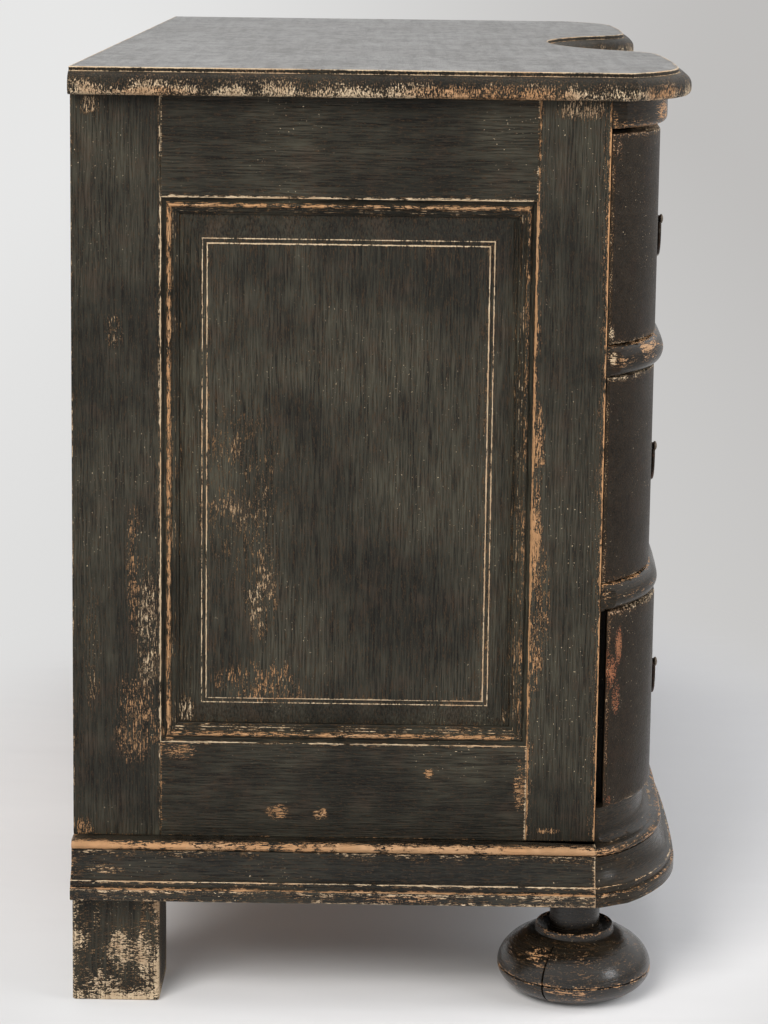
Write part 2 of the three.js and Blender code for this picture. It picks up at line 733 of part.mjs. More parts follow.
// An oval keyhole plate with a keyhole: a round eye over a slot.
function keyPlate() {
  const oval = new THREE.Shape();
  oval.absellipse(0, 0, KEYPLATE_WIDTH / 2, KEYPLATE_HEIGHT / 2, 0, 2 * Math.PI, false);
  const slot = KEYHOLE_SLOT_WIDTH / 2;
  const meet = Math.asin(slot / KEYHOLE_RADIUS);
  const eye = new THREE.Path();
  eye.moveTo(slot, -KEYHOLE_DROP);
  eye.absarc(0, 0, KEYHOLE_RADIUS, -Math.PI / 2 + meet, -Math.PI / 2 - meet + 2 * Math.PI, false);
  eye.lineTo(-slot, -KEYHOLE_DROP);
  oval.holes.push(eye);
  const plate = new THREE.ExtrudeGeometry(oval, {
    depth: PLATE_THICKNESS,
    bevelEnabled: false,
    curveSegments: KEYPLATE_ARC_STEPS,
  });
  return plate.rotateX(Math.PI / 2);
}

const commode = new THREE.Group();
const model = new THREE.Group();
commode.add(model);

function place(name, geometry, look, parent = model) {
  const mesh = new THREE.Mesh(geometry, new THREE.MeshStandardMaterial(look));
  mesh.name = name;
  parent.add(mesh);
  return mesh;
}

function placeCase() {
  place("top_board", topBoard(), paint.top);
  place("frieze", frieze(), paint.front);
  place("dividing_rail_upper", dividingRail(openings.middle.top, openings.upper.bottom), paint.front);
  place("dividing_rail_lower", dividingRail(openings.lower.top, openings.middle.bottom), paint.front);
  place("fascia", fascia(), paint.front);
  place("base_moulding_front", baseFront(), paint.front);
  place("back_panel", backPanel(), paint.inside);
  place("floor_board", floorBoard(), paint.inside);
}

function placeSide(name, mirror) {
  const turned = (geometry) => (mirror ? mirrored(geometry) : geometry);
  place("rear_stile_" + name, turned(rearStile()), paint.case);
  place("front_stile_" + name, turned(frontStile()), paint.case);
  place("side_top_rail_" + name, turned(sideTopRail()), paint.case);
  place("side_bottom_rail_" + name, turned(sideBottomRail()), paint.case);
  place("side_panel_" + name, turned(sidePanel()), paint.case);
  place("base_moulding_" + name, turned(baseSide()), paint.case);
  place("block_foot_" + name, turned(blockFoot()), paint.case);
  for (const [level, opening] of Object.entries(openings)) {
    place("runner_" + level + "_" + name, turned(runner(opening)), paint.inside);
  }
  const bun = place("bun_foot_" + name, bunFoot(), paint.case);
  bun.position.set((mirror ? -1 : 1) * (half - BUN_INSET), BUN_SETBACK, 0);
}

function placeHandle(name, side, z, drawer) {
  const handle = new THREE.Group();
  handle.position.set(side * plan.lobeX, -plan.lobeForward, z);
  drawer.add(handle);
  place("handle_plate_" + name, handlePlate(), paint.iron, handle);
  const swinging = place("bail_" + name, bail(), paint.iron, handle);
  swinging.position.y = -(RUNNING_GAP + PLATE_THICKNESS + POST_PIVOT);
}

function placeDrawer(level, pull, headGap) {
  const opening = openings[level];
  const drawer = new THREE.Group();
  drawer.position.y = -pull;
  model.add(drawer);
  const frontBottom = opening.bottom + FRONT_GAP;
  const frontTop = opening.top - headGap;
  const boxBottom = opening.bottom + RUNNING_GAP;
  const boxTop = opening.top - BOX_HEADROOM;
  place("drawer_front_" + level, drawerFront(frontBottom, frontTop), paint.front, drawer);
  place("drawer_side_left_" + level, drawerSide(-1, boxBottom, boxTop), paint.inside, drawer);
  place("drawer_side_right_" + level, drawerSide(1, boxBottom, boxTop), paint.inside, drawer);
  place("drawer_back_" + level, drawerBack(boxBottom, boxTop), paint.inside, drawer);
  place("drawer_bottom_" + level, drawerBottom(boxBottom + BOX_FLOOR_LIFT), paint.inside, drawer);
  const handleZ = (frontBottom + frontTop) / 2 + HANDLE_LIFT;
  placeHandle("left_" + level, -1, handleZ, drawer);
  placeHandle("right_" + level, 1, handleZ, drawer);
  const plate = place("keyhole_plate_" + level, keyPlate(), paint.iron, drawer);
  plate.position.set(0, -plan.keyForward - RUNNING_GAP, handleZ);
}

placeCase();
placeSide("right", false);
placeSide("left", true);
placeDrawer("upper", 0, UPPER_FRONT_GAP);
placeDrawer("middle", 0, FRONT_GAP);
placeDrawer("lower", LOWER_DRAWER_PULL, FRONT_GAP);

const box = new THREE.Box3().setFromObject(model);
model.position.y = -(box.min.y + box.max.y) / 2;

export default commode;
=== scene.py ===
# A commode with a serpentine front, in black paint worn through at its edges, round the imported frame.
# Metres, +Z up, the front faces -Y. "Forward" is the distance towards the viewer of the drawers, -Y.
import math

import bmesh
import bpy
from mathutils import Matrix, Vector


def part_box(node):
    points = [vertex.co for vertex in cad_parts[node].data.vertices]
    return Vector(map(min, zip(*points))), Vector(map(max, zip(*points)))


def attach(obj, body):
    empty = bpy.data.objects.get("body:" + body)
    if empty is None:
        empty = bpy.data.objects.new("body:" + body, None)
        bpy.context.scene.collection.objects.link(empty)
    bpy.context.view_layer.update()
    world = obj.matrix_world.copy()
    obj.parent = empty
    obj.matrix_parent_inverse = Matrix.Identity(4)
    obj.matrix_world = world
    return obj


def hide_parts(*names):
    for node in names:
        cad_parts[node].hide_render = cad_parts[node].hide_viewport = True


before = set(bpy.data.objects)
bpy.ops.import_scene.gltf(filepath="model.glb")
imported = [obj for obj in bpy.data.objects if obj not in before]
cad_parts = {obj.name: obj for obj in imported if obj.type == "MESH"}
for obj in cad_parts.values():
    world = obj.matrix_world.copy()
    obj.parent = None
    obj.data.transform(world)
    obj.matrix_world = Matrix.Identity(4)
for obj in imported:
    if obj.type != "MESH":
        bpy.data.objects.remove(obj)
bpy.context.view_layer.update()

# Places that the frame gives
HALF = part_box("front_stile_right")[1].x
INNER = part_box("front_stile_right")[0].x
FRONT_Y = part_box("front_stile_right")[0].y
BACK_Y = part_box("rear_stile_right")[1].y
CASE_DEPTH = BACK_Y - FRONT_Y

# Plan of the front, from a corner to the middle, measured forward of the stiles' front edge
FACE_START = 0.003
CORNER_RADIUS = 0.145
CORNER_ANGLE = math.radians(48)
LOBE_ANGLE = math.radians(2.5)
THROAT_RADIUS = 0.09
THROAT_ANGLE = math.radians(55)
HOLLOW_WIDTH = 0.332
HOLLOW_SAG = 0.059
CORNER_STEPS = 14
LOBE_STEPS = 6
THROAT_STEPS = 14
HOLLOW_STEPS = 16

# Side frames
FRAME_THICKNESS = HALF - INNER
MOULDING_WIDTH = 0.016
MOULDING_FALL = 0.010
MOULDING_DEPTH = 0.016
BEVEL_WIDTH = 0.021
BEVEL_RISE = 0.007
FIELD_FILLET = 0.004
FIELD_RECESS = 0.003
FIELD_STEP = 0.0015
PANEL_BACK = 0.0222
PANEL_CORNER = 0.0001
SEAM = 0.0002
RUNNING_GAP = 0.0003
ARRIS = 0.0008

# Pieces across the front
CROSS_DEPTH = 0.085
RAIL_NOSE = 0.008
RAIL_TUCK = 0.004
RAIL_STEPS = 16
FRIEZE_PROUD = 0.006
FRIEZE_BAND = 0.006
FRIEZE_ROUND = 0.007
FRIEZE_STEPS = 6
FASCIA_BAND = 0.003
FASCIA_COVE = 0.010
FASCIA_STEPS = 8
DYING_SHARE = 0.4
STEP_X = INNER - SEAM

# Base moulding
BASE_INSET = 0.040
BASE_SHELF = 0.013
BASE_BEAD = 0.009
BASE_BEAD_PROUD = 0.005
BASE_COVE_TOP = 0.016
BASE_COVE_HEIGHT = 0.025
BASE_REACH = 0.031
BASE_STEP = 0.003
BASE_UPPER_FILLET = 0.006
BASE_CHAMFER = 0.0015
BASE_STEPS = 8

# Top board
TOP_SIDE_OVERHANG = 0.020
TOP_FRONT_OVERHANG = 0.027
TOP_EDGE_SETBACK = 0.012
TOP_EDGE_FILLET = 0.004
TOP_LIP = 0.009
TOP_UNDERCUT = 0.005
TOP_UNDERSIDE_INSET = 0.020
TOP_REAR_STATION = 0.020
TOP_UNDERCUT_SHARE = 0.62
TOP_UNDERCUT_STEPS = 4
TOP_CURVE_STEPS = 8

# Feet
BUN_RADIUS = 0.071
BUN_HEIGHT = 0.054
BUN_FLAT_RADIUS = 0.046
NECK_RADIUS = 0.023
COLLAR_RADIUS = 0.036
COLLAR_HEIGHT = 0.009
COLLAR_DISH = 0.004
BUN_SEGMENTS = 96
BUN_STEPS = 28
SCRIBE_DEPTH = 0.0012
SCRIBE_WIDTH = 0.0012
CRACK_BEARING = math.radians(153)
CRACK_WIDTH = math.radians(0.75)
CRACK_DEPTH = 0.006
CRACK_TOP = 0.052
SHOULDER_STRETCH = 1.24
BLOCK_CHAMFER = 0.0012

# Drawers
FRONT_THICKNESS = 0.024
FRONT_SEAT_GAP = 0.0008
FRONT_CORNER_DEPTH = 0.016
FRONT_CORNER_WIDTH = 0.018
FRONT_END_GAP = 0.001
BOX_SIDE_GAP = 0.001
FRONT_ARRIS = 0.0018
BOARD_ARRIS = 0.0012
THIN_BOARD_ARRIS = 0.0010

# Handles and keyhole plates
HANDLE_SPAN = 0.090
ROSETTE_RADIUS = 0.014
ROSETTE_STEPS = 24
PLATE_THICKNESS = 0.0015
PLATE_BAR = 0.009
POST_RADIUS = 0.0045
POST_WAIST = 0.003
POST_LENGTH = 0.007
POST_PIVOT = 0.004
KNOB_STEPS = 6
BAIL_RADIUS = 0.0022
BAIL_DROP = 0.038
BAIL_STEPS = 6
BAIL_SEGMENTS = 14
KEYPLATE_WIDTH = 0.030
KEYPLATE_HEIGHT = 0.052
KEYPLATE_STEPS = 48
KEYHOLE_RADIUS = 0.0032
KEYHOLE_DROP = 0.011
KEYHOLE_SLOT_WIDTH = 0.0034

# Back boards, with the gap that each one by turns leaves at its joints
BACK_BOARDS = 4
BACK_JOINT_GAPS = (0.0006, 0.0011)

SMOOTH_ANGLE = math.radians(32)
SIDES = (("left", -1), ("right", 1))

# How the wear of a worn arris dies away over the face beside it, as (distance, wear)
EDGE_FADE = [(0.0011, 0.55), (0.0022, 0.16), (0.006, 0.08), (0.012, 0.0)]


# Plan of the front
def arc(centre_x, centre_forward, radius, start, end, bulge, steps):
    """Points on an arc, by the slope angle that it has there. A bulge is 1 and a hollow is -1."""
    points = []
    for i in range(steps + 1):
        angle = start + (end - start) * i / steps
        x = centre_x + radius * math.sin(angle)
        points.append((x, centre_forward + bulge * radius * math.cos(angle)))
    return points


def with_mitres(points):
    """(x, forward, mitre x, mitre forward) at each point of a line that runs from left to right."""
    normals = []
    for (x0, f0), (x1, f1) in zip(points, points[1:]):
        length = math.hypot(x1 - x0, f1 - f0)
        normals.append(((f0 - f1) / length, (x1 - x0) / length))
    line = []
    for i, (x, f) in enumerate(points):
        before = normals[max(i - 1, 0)]
        after = normals[min(i, len(normals) - 1)]
        share = 1 + before[0] * after[0] + before[1] * after[1]
        line.append((x, f, (before[0] + after[0]) / share, (before[1] + after[1]) / share))
    return line


def front_plan():
    """The drawer faces' line: a rounded corner, a broad lobe, a tight throat, a kink and a hollow."""
    corner_x = HALF - CORNER_RADIUS * math.sin(CORNER_ANGLE)
    corner_centre = FACE_START - CORNER_RADIUS * math.cos(CORNER_ANGLE)
    corner = arc(corner_x, corner_centre, CORNER_RADIUS, CORNER_ANGLE, LOBE_ANGLE, 1, CORNER_STEPS)
    shoulder = corner[-1]
    kink_x = HOLLOW_WIDTH / 2
    throat_x = kink_x + THROAT_RADIUS * math.sin(THROAT_ANGLE)
    throat_centre = shoulder[1] - THROAT_RADIUS * math.cos(LOBE_ANGLE)
    throat = arc(throat_x, throat_centre, THROAT_RADIUS, -LOBE_ANGLE, -THROAT_ANGLE, 1, THROAT_STEPS)
    lobe_x = (shoulder[0] + throat[0][0]) / 2
    lobe_radius = (shoulder[0] - lobe_x) / math.sin(LOBE_ANGLE)
    lobe_centre = shoulder[1] - lobe_radius * math.cos(LOBE_ANGLE)
    lobe = arc(lobe_x, lobe_centre, lobe_radius, LOBE_ANGLE, -LOBE_ANGLE, 1, LOBE_STEPS)
    hollow_radius = (kink_x**2 + HOLLOW_SAG**2) / (2 * HOLLOW_SAG)
    hollow_centre = throat[-1][1] - HOLLOW_SAG + hollow_radius
    start = math.asin(kink_x / hollow_radius)
    hollow = arc(0, hollow_centre, hollow_radius, start, 0, -1, HOLLOW_STEPS)
    right = corner + lobe[1:] + throat[1:] + hollow[1:]
    left = [(-x, f) for x, f in right[:-1]]
    return with_mitres(left + right[::-1]), lobe_centre + lobe_radius


PLAN, LOBE_FORWARD = front_plan()
SEAT = FRONT_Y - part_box("drawer_front_upper")[0].y - LOBE_FORWARD
PLAN = [(x, forward + SEAT, mitre_x, mitre_f) for x, forward, mitre_x, mitre_f in PLAN]


# Mesh code
def recalculated(mesh):
    """Turns a closed mesh's faces outwards."""
    work = bmesh.new()
    work.from_mesh(mesh)
    bmesh.ops.recalc_face_normals(work, faces=work.faces)
    work.to_mesh(mesh)
    work.free()


def placed(name, data):
    """A new object in the scene."""
    made = bpy.data.objects.new(name, data)
    bpy.context.scene.collection.objects.link(made)
    return made


def piece(name, skin, material, node, body="case"):
    """A mesh from (points, faces, wear), which stands for a CAD node and rides on a body."""
    points, faces, wear = skin
    mesh = bpy.data.meshes.new(name)
    mesh.from_pydata([tuple(p) for p in points], [], faces)
    attribute = mesh.attributes.new("wear", "FLOAT", "POINT")
    attribute.data.foreach_set("value", wear)
    recalculated(mesh)
    mesh.shade_smooth()
    mesh.set_sharp_from_angle(angle=SMOOTH_ANGLE)
    mesh.materials.append(material)
    made = placed(name, mesh)
    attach(made, body)
    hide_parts(node)


def loft(rings, capped=True):
    """Skin over rings of equal length, each as (points, wear). The wear is one value or a list."""
    count = len(rings[0][0])
    points, faces, wear = [], [], []
    for ring, worn in rings:
        points += ring
        wear += worn if isinstance(worn, list) else [worn] * count
    for r in range(len(rings) - 1):
        for i in range(count):
            a, b = r * count + i, r * count + (i + 1) % count
            faces.append((a, b, b + count, a + count))
    if capped:
        last = (len(rings) - 1) * count
        faces.append(tuple(range(count))[::-1])
        faces.append(tuple(range(last, last + count)))
    return points, faces, wear


def joined(*skins):
    """Several skins as one."""
    points, faces, wear = [], [], []
    for more_points, more_faces, more_wear in skins:
        start = len(points)
        points += more_points
        faces += [tuple(start + i for i in face) for face in more_faces]
        wear += more_wear
    return points, faces, wear


def at(x, forward, z):
    """A point from its distance forward of the stiles' front edge."""
    return Vector((x, FRONT_Y - forward, z))


def circle(steps):
    """The angles of equal steps round a circle."""
    return [2 * math.pi * i / steps for i in range(steps)]


def quarter_turn(steps):
    """(step, sine, cosine) at each step of a quarter turn."""
    angles = [math.pi / 2 * i / steps for i in range(steps + 1)]
    return [(i, math.sin(angle), math.cos(angle)) for i, angle in enumerate(angles)]


def rectangle(y0, y1, z0, z1, inset, corner):
    """Eight points of a rectangle in the side's plane with its corners cut: rear, top, front, bottom."""
    y0, y1, z0, z1 = y0 + inset, y1 - inset, z0 + inset, z1 - inset
    return [
        (y1, z0 + corner), (y1, z1 - corner), (y1 - corner, z1), (y0 + corner, z1),
        (y0, z1 - corner), (y0, z0 + corner), (y0 + corner, z0), (y1 - corner, z0),
    ]


def nested(side, levels, edges):
    """Skin over nested rectangles, from the back to the face. A level is (rectangle, depth, wear)."""
    rings = []
    for points, depth, wear in levels:
        ring = [Vector((side * (HALF - depth), y, z)) for y, z in points]
        rings.append((ring, [wear * edges[i // 2] for i in range(len(points))]))
    return loft(rings)


# A worn arris from the edge to the face, as (share of its width inwards, share of its depth, wear)
ARRIS_SHARES = [(0, 4, 0.05), (0, 1, 1), (0.3, 0.3, 1), (1, 0, 1)]


def side_board(side, box, edges):
    """A flat member of the side frame with eased arrises. Edges are the wear of its rear, top, front
    and bottom edges."""
    levels = [(rectangle(*box, 0, ARRIS), FRAME_THICKNESS, 0)]
    for inset_share, depth_share, wear in ARRIS_SHARES:
        levels.append((rectangle(*box, ARRIS * inset_share, ARRIS), ARRIS * depth_share, wear))
    for inset, wear in EDGE_FADE:
        levels.append((rectangle(*box, inset, ARRIS), 0, wear))
    return nested(side, levels, edges)


# The moulding round a panel as (share of its width inwards, share of its fall, wear). Its arris ends
# at the first of two shares of the width, and its bead at the second. The two pale lines on the steps
# past the bead are partly wear and partly painted highlights.
MOULDING_SHARES = [
    (0.00, 0.02, 1.2), (0.03, 0.00, 1.6), (0.050, 0.05, 0.5), (0.09, 0.20, 0.0), (0.16, 0.36, 0.0),
    (0.23, 0.42, 0.0), (0.29, 0.38, 0.0), (0.34, 0.26, 0.45), (0.38, 0.17, 0.8), (0.44, 0.12, 0.95),
    (0.50, 0.12, 0.95), (0.56, 0.20, 0.8), (0.61, 0.36, 0.35), (0.64, 0.58, 0.0), (0.67, 0.60, 0.75),
    (0.70, 0.61, 0.2), (0.80, 0.65, 0.2), (0.82, 0.67, 0.75), (0.84, 0.72, 0.4), (0.85, 0.90, 0.0),
    (0.88, 0.93, 0.3), (1.00, 1.00, 0.1),
]
MOULDING_PART_SHARES = (0.3, 0.63)


def moulding(side, place, start, end, part_wears_and_highlights):
    """A strip of moulding with mitred ends. Place gives (y, z) from a distance inwards and one along,
    and the wears are those of the arris, the bead and the steps within it. The pale lines on the steps
    are partly wear and partly painted highlights."""
    section = []
    for inward, fall, wear in MOULDING_SHARES:
        part = sum(inward >= share for share in MOULDING_PART_SHARES)
        section.append((inward * MOULDING_WIDTH, fall * MOULDING_FALL, wear * part_wears_and_highlights[part]))
    section += [(MOULDING_WIDTH, MOULDING_DEPTH, 0), (0, MOULDING_DEPTH, 0)]
    rings = []
    for origin, turn in ((start, 1), (end, -1)):
        ring = []
        for inward, drop, _ in section:
            y, z = place(inward, origin + turn * inward)
            ring.append(Vector((side * (HALF - drop), y, z)))
        rings.append((ring, [wear for _, _, wear in section]))
    return loft(rings)


# Materials
class Tree:
    """A node tree, with a short form for each kind of node."""

    def __init__(self, owner):
        owner.use_nodes = True
        self.nodes = owner.node_tree.nodes
        self.links = owner.node_tree.links

    def fill(self, socket, value):
        if isinstance(value, bpy.types.NodeSocket):
            self.links.new(value, socket)
        else:
            socket.default_value = value

    def node(self, kind, values, **settings):
        made = self.nodes.new(kind)
        for name, setting in settings.items():
            setattr(made, name, setting)
        for socket, value in values.items():
            self.fill(made.inputs[socket], value)
        return made

    def math(self, operation, a, b):
        return self.node("ShaderNodeMath", {0: a, 1: b}, operation=operation).outputs[0]

    def add(self, a, b):
        return self.math("ADD", a, b)

    def times(self, a, b):
        return self.math("MULTIPLY", a, b)

    def most(self, a, b):
        return self.math("MAXIMUM", a, b)

    def total(self, first, *others):
        """The sum of (value, weight) pairs."""
        whole = self.times(*first)
        for other in others:
            whole = self.add(whole, self.times(*other))
        return whole

    def step(self, value, low, high, to_low=0.0, to_high=1.0):
        """A smooth step from one value to another, between low and high."""
        values = {"Value": value, "From Min": low, "From Max": high, "To Min": to_low, "To Max": to_high}
        return self.node("ShaderNodeMapRange", values, interpolation_type="SMOOTHSTEP").outputs[0]

    def mix(self, factor, a, b):
        return self.node("ShaderNodeMix", {0: factor, 6: a, 7: b}, data_type="RGBA").outputs[2]

    def tint(self, a, b, value, low, high, least=0.0, most=1.0):
        """A colour that turns to another as a value steps from low to high."""
        return self.mix(self.step(value, low, high, least, most), a, b)

    def blend(self, factor, a, b):
        return self.node("ShaderNodeMixShader", {0: factor, 1: a, 2: b}).outputs[0]

    def parts(self, vector):
        return self.node("ShaderNodeSeparateXYZ", {0: vector}).outputs

    def length(self, vector):
        return self.node("ShaderNodeVectorMath", {0: vector}, operation="LENGTH").outputs["Value"]

    def seen(self):
        """1 where a ray comes from the camera, by way of a mirror or glass too, and 0 elsewhere."""
        path = self.node("ShaderNodeLightPath", {}).outputs
        straight = self.most(path["Is Camera Ray"], path["Is Glossy Ray"])
        return self.most(straight, path["Is Transmission Ray"])


class Look(Tree):
    """A material's node tree."""

    def __init__(self, name):
        self.material = bpy.data.materials.new(name)
        super().__init__(self.material)
        self.shader = self.nodes["Principled BSDF"]
        self.place = self.nodes.new("ShaderNodeTexCoord").outputs["Object"]

    def noise(self, vector, scale, detail=2.0, roughness=0.5):
        values = {"Vector": vector, "Scale": scale, "Detail": detail, "Roughness": roughness}
        return self.node("ShaderNodeTexNoise", values).outputs[0]

    def scaled(self, scale):
        return self.node("ShaderNodeMapping", {"Vector": self.place, "Scale": scale}).outputs[0]

    def grained(self, grain, across, along, detail=2.0, roughness=0.5):
        """Noise with how often it changes across and along the wood's grain. A turned piece's grain
        is named after both level axes."""
        scale = tuple(along if axis in grain else across for axis in "xyz")
        return self.noise(self.scaled(scale), 1.0, detail, roughness)

    def worn(self):
        return self.node("ShaderNodeAttribute", {}, attribute_name="wear").outputs["Fac"]

    def distance(self, centre, radii):
        """The distance from a centre, as a share of the radii."""
        values = {"Vector": self.place, "Location": centre, "Scale": radii}
        return self.length(self.node("ShaderNodeMapping", values, vector_type="TEXTURE").outputs[0])

    def bump(self, height, distance, normal=None):
        values = {"Height": height, "Distance": distance}
        if normal:
            values["Normal"] = normal
        return self.node("ShaderNodeBump", values).outputs[0]

    def finish(self, **sockets):
        for name, value in sockets.items():
            self.fill(self.shader.inputs[name.replace("_", " ")], value)
        return self.material


def shaded(colour, light):
    return tuple(light * c for c in colour[:3]) + (1,)


PAINT_DARK = (0.0100, 0.0093, 0.0066, 1)
PAINT_LIGHT = (0.028, 0.0255, 0.0178, 1)
PAINT_BROWN = (0.029, 0.0195, 0.0130, 1)
# Pale grey of the top face: partly dust, partly a painted sheen
PAINT_DUST_AND_SHEEN = (0.150, 0.146, 0.140, 1)
STAIN = (0.045, 0.026, 0.0125, 1)
TAN = (0.200, 0.115, 0.053, 1)
OCHRE = (0.46, 0.250, 0.119, 1)
RED_CHIP = (0.28, 0.105, 0.052, 1)
CREAM = (0.62, 0.48, 0.32, 1)
WOOD_PALE = (0.34, 0.205, 0.105, 1)
WOOD_DEEP = (0.15, 0.078, 0.036, 1)
IRON_DARK = (0.030, 0.026, 0.022, 1)
IRON_BLOOM = (0.085, 0.042, 0.024, 1)
IRON_RUBBED = (0.22, 0.18, 0.14, 1)

# A spot is at its full amount within this share of its radii, and the top's pale grey, partly dust and partly
# a painted sheen, sets in over this rise
SPOT_CORE_SHARE = 0.25
DUST_AND_SHEEN_RISE = 0.0006


def painted(name, grain, hatch=None, tone_and_shade=1.0, shine=0.44, sheen=0.2, brown=0.0, relief=0.0012,
            specks=1.0, grainy=0.65, worn_share=1.0, warm=OCHRE, dust_and_sheen_above=None, spots=()):
    """Old black paint on wood, rubbed to a brown stain, then to tan wood, and at its palest to cream
    or to the warm colour. The wear attribute is positive where cream shows and negative where the
    warm colour does. A spot is (centre, radii, amount), of the same signs. Hatch is the way that the
    flakes run. The tone scales the paint, and its low values on the front pieces, drawers and buns
    are painted shade. Above the given height the paint is dulled to a pale grey in streaks, which is
    partly dust and partly a painted sheen."""
    look = Look(name)
    flaked = hatch or grain
    ridges = look.grained(grain, 700, 30, 3.0, 0.7)
    strands = look.grained(grain, 120, 5)
    mottle = look.noise(look.place, 8.0, 4.0, 0.6)
    clouds = look.noise(look.place, 36.0, 3.0, 0.6)
    grit = look.grained(grain, 620, 450)
    flakes = look.grained(flaked, 800, 260 if hatch else 150, 3.0, 0.6)
    fine = look.grained(flaked, 1900, 600)
    chips = look.step(look.total((flakes, 0.48), (fine, 0.34), (ridges, 0.18)), 0.41, 0.59, 0.14, 1.05)

    wear = look.worn()
    cream = look.most(look.times(wear, worn_share), 0.0)
    ochre = look.most(look.times(wear, -worn_share), 0.0)
    for centre, radii, amount in spots:
        patch = look.step(look.distance(centre, radii), SPOT_CORE_SHARE, 1.0, abs(amount), 0.0)
        if amount > 0:
            cream = look.most(cream, patch)
        else:
            ochre = look.most(ochre, patch)
    worn = look.most(cream, ochre)
    level = look.times(worn, look.step(clouds, 0.36, 0.64, 0.42, 1.25))
    gap = look.math("SUBTRACT", level, chips)
    stained = look.step(gap, -0.36, -0.04, 0.0, 0.9)
    rubbed = look.step(gap, -0.09, 0.05)
    pale = look.step(look.add(gap, look.times(fine, 0.6)), 0.26, 0.46)
    patchy = look.step(look.add(mottle, look.times(worn, 0.3)), 0.45, 0.63)
    speckle = look.times(look.step(grit, 0.70, 0.76, 0.0, specks), patchy)

    base = look.tint(PAINT_DARK, PAINT_LIGHT, mottle, 0.36, 0.64)
    base = look.tint(base, PAINT_BROWN, clouds, 0.50, 0.74, brown, brown + 0.5)
    grain_lift = look.step(ridges, 0.34, 0.66, 1 - grainy, 1 + grainy)
    # The tone scales the paint: its low values on the front pieces, drawers and buns are painted shade
    lift = look.times(look.add(grain_lift, look.step(strands, 0.3, 0.7, -0.2, 0.2)), tone_and_shade)
    shade = look.node("ShaderNodeVectorMath", {0: base, "Scale": lift}, operation="SCALE").outputs[0]
    # The top face is paled to grey in streaks: partly dust, partly a painted sheen
    if dust_and_sheen_above:
        scuffs = look.grained(grain, 150, 60, 4.0, 0.7)
        streaks = look.total((scuffs, 0.5), (strands, 0.2), (clouds, 0.3))
        dust_and_sheen_share = look.step(look.parts(look.place)["Z"], dust_and_sheen_above - DUST_AND_SHEEN_RISE, dust_and_sheen_above)
        dust = look.times(dust_and_sheen_share, look.step(streaks, 0.42, 0.58, 0.25, 1.0))
        shade = look.mix(dust, shade, PAINT_DUST_AND_SHEEN)
        look.finish(Coat_Weight=look.times(dust_and_sheen_share, 0.5), Coat_Roughness=0.35)
    warmth = look.math("DIVIDE", ochre, look.most(worn, 0.05))
    warmth = look.add(warmth, look.step(mottle, 0.42, 0.60, -0.25, 0.5))
    palest = look.tint(CREAM, warm, warmth, 0.1, 0.95)
    palest = look.tint(palest, TAN, ridges, 0.52, 0.72, 0.0, 0.7)
    palest = look.tint(palest, TAN, clouds, 0.46, 0.70, 0.0, 0.45)
    middle = look.tint(TAN, warm, warmth, 0.3, 0.9)
    middle = look.tint(middle, STAIN, ridges, 0.46, 0.66, 0.0, 0.8)
    colour = look.mix(stained, shade, STAIN)
    colour = look.mix(rubbed, colour, middle)
    colour = look.mix(look.times(pale, rubbed), colour, palest)
    colour = look.mix(speckle, colour, look.tint(CREAM, TAN, clouds, 0.54, 0.64))

    rough = look.step(ridges, 0.25, 0.75, shine - 0.06, shine + 0.08)
    rough = look.add(rough, look.step(mottle, 0.3, 0.7, -0.05, 0.07))
    rough = look.add(rough, look.times(rubbed, 0.25))
    height = look.math("SUBTRACT", ridges, look.times(rubbed, 0.5))
    height = look.add(height, look.times(fine, 0.25))
    normal = look.bump(look.add(clouds, strands), relief, look.bump(height, relief))
    return look.finish(Base_Color=colour, Roughness=rough, Normal=normal, Specular_IOR_Level=sheen)


def bare_wood(name, grain, light=1.0):
    """Unpainted old softwood, browned by age, with dark grain and dust."""
    look = Look(name)
    rings = look.grained(grain, 75, 2.2, 4.0, 0.6)
    fibres = look.grained(grain, 700, 14, 3.0, 0.65)
    stain = look.noise(look.place, 6.0, 4.0, 0.6)
    knots = look.grained(grain, 26, 9)
    pale = shaded(WOOD_PALE, light)
    deep = shaded(WOOD_DEEP, light)
    colour = look.tint(pale, deep, rings, 0.34, 0.66)
    colour = look.tint(colour, deep, fibres, 0.45, 0.75, 0.0, 0.5)
    colour = look.tint(colour, STAIN, stain, 0.5, 0.8, 0.0, 0.35)
    colour = look.tint(colour, STAIN, knots, 0.70, 0.76, 0.0, 0.7)
    edges = look.node("ShaderNodeNewGeometry", {}).outputs["Pointiness"]
    colour = look.tint(colour, pale, edges, 0.52, 0.6, 0.0, 0.5)
    rough = look.step(fibres, 0.3, 0.7, 0.68, 0.88)
    normal = look.bump(look.add(fibres, look.times(rings, 0.5)), 0.0005)
    return look.finish(Base_Color=colour, Roughness=rough, Normal=normal)


def old_iron(name):
    """Dark iron with a brown bloom and brighter handled edges."""
    look = Look(name)
    bloom = look.noise(look.place, 120.0, 5.0, 0.6)
    pitting = look.noise(look.place, 900.0, 3.0)
    rubbed = look.step(look.math("SUBTRACT", look.worn(), bloom), -0.12, 0.25)
    colour = look.tint(IRON_DARK, IRON_BLOOM, bloom, 0.42, 0.66)
    colour = look.mix(rubbed, colour, IRON_RUBBED)
    metal = look.step(bloom, 0.45, 0.65, 0.9, 0.35)
    rough = look.add(look.step(bloom, 0.3, 0.7, 0.36, 0.62), look.times(rubbed, -0.1))
    normal = look.bump(pitting, 0.00012, look.bump(bloom, 0.0004))
    return look.finish(Base_Color=colour, Metallic=metal, Roughness=rough, Normal=normal)


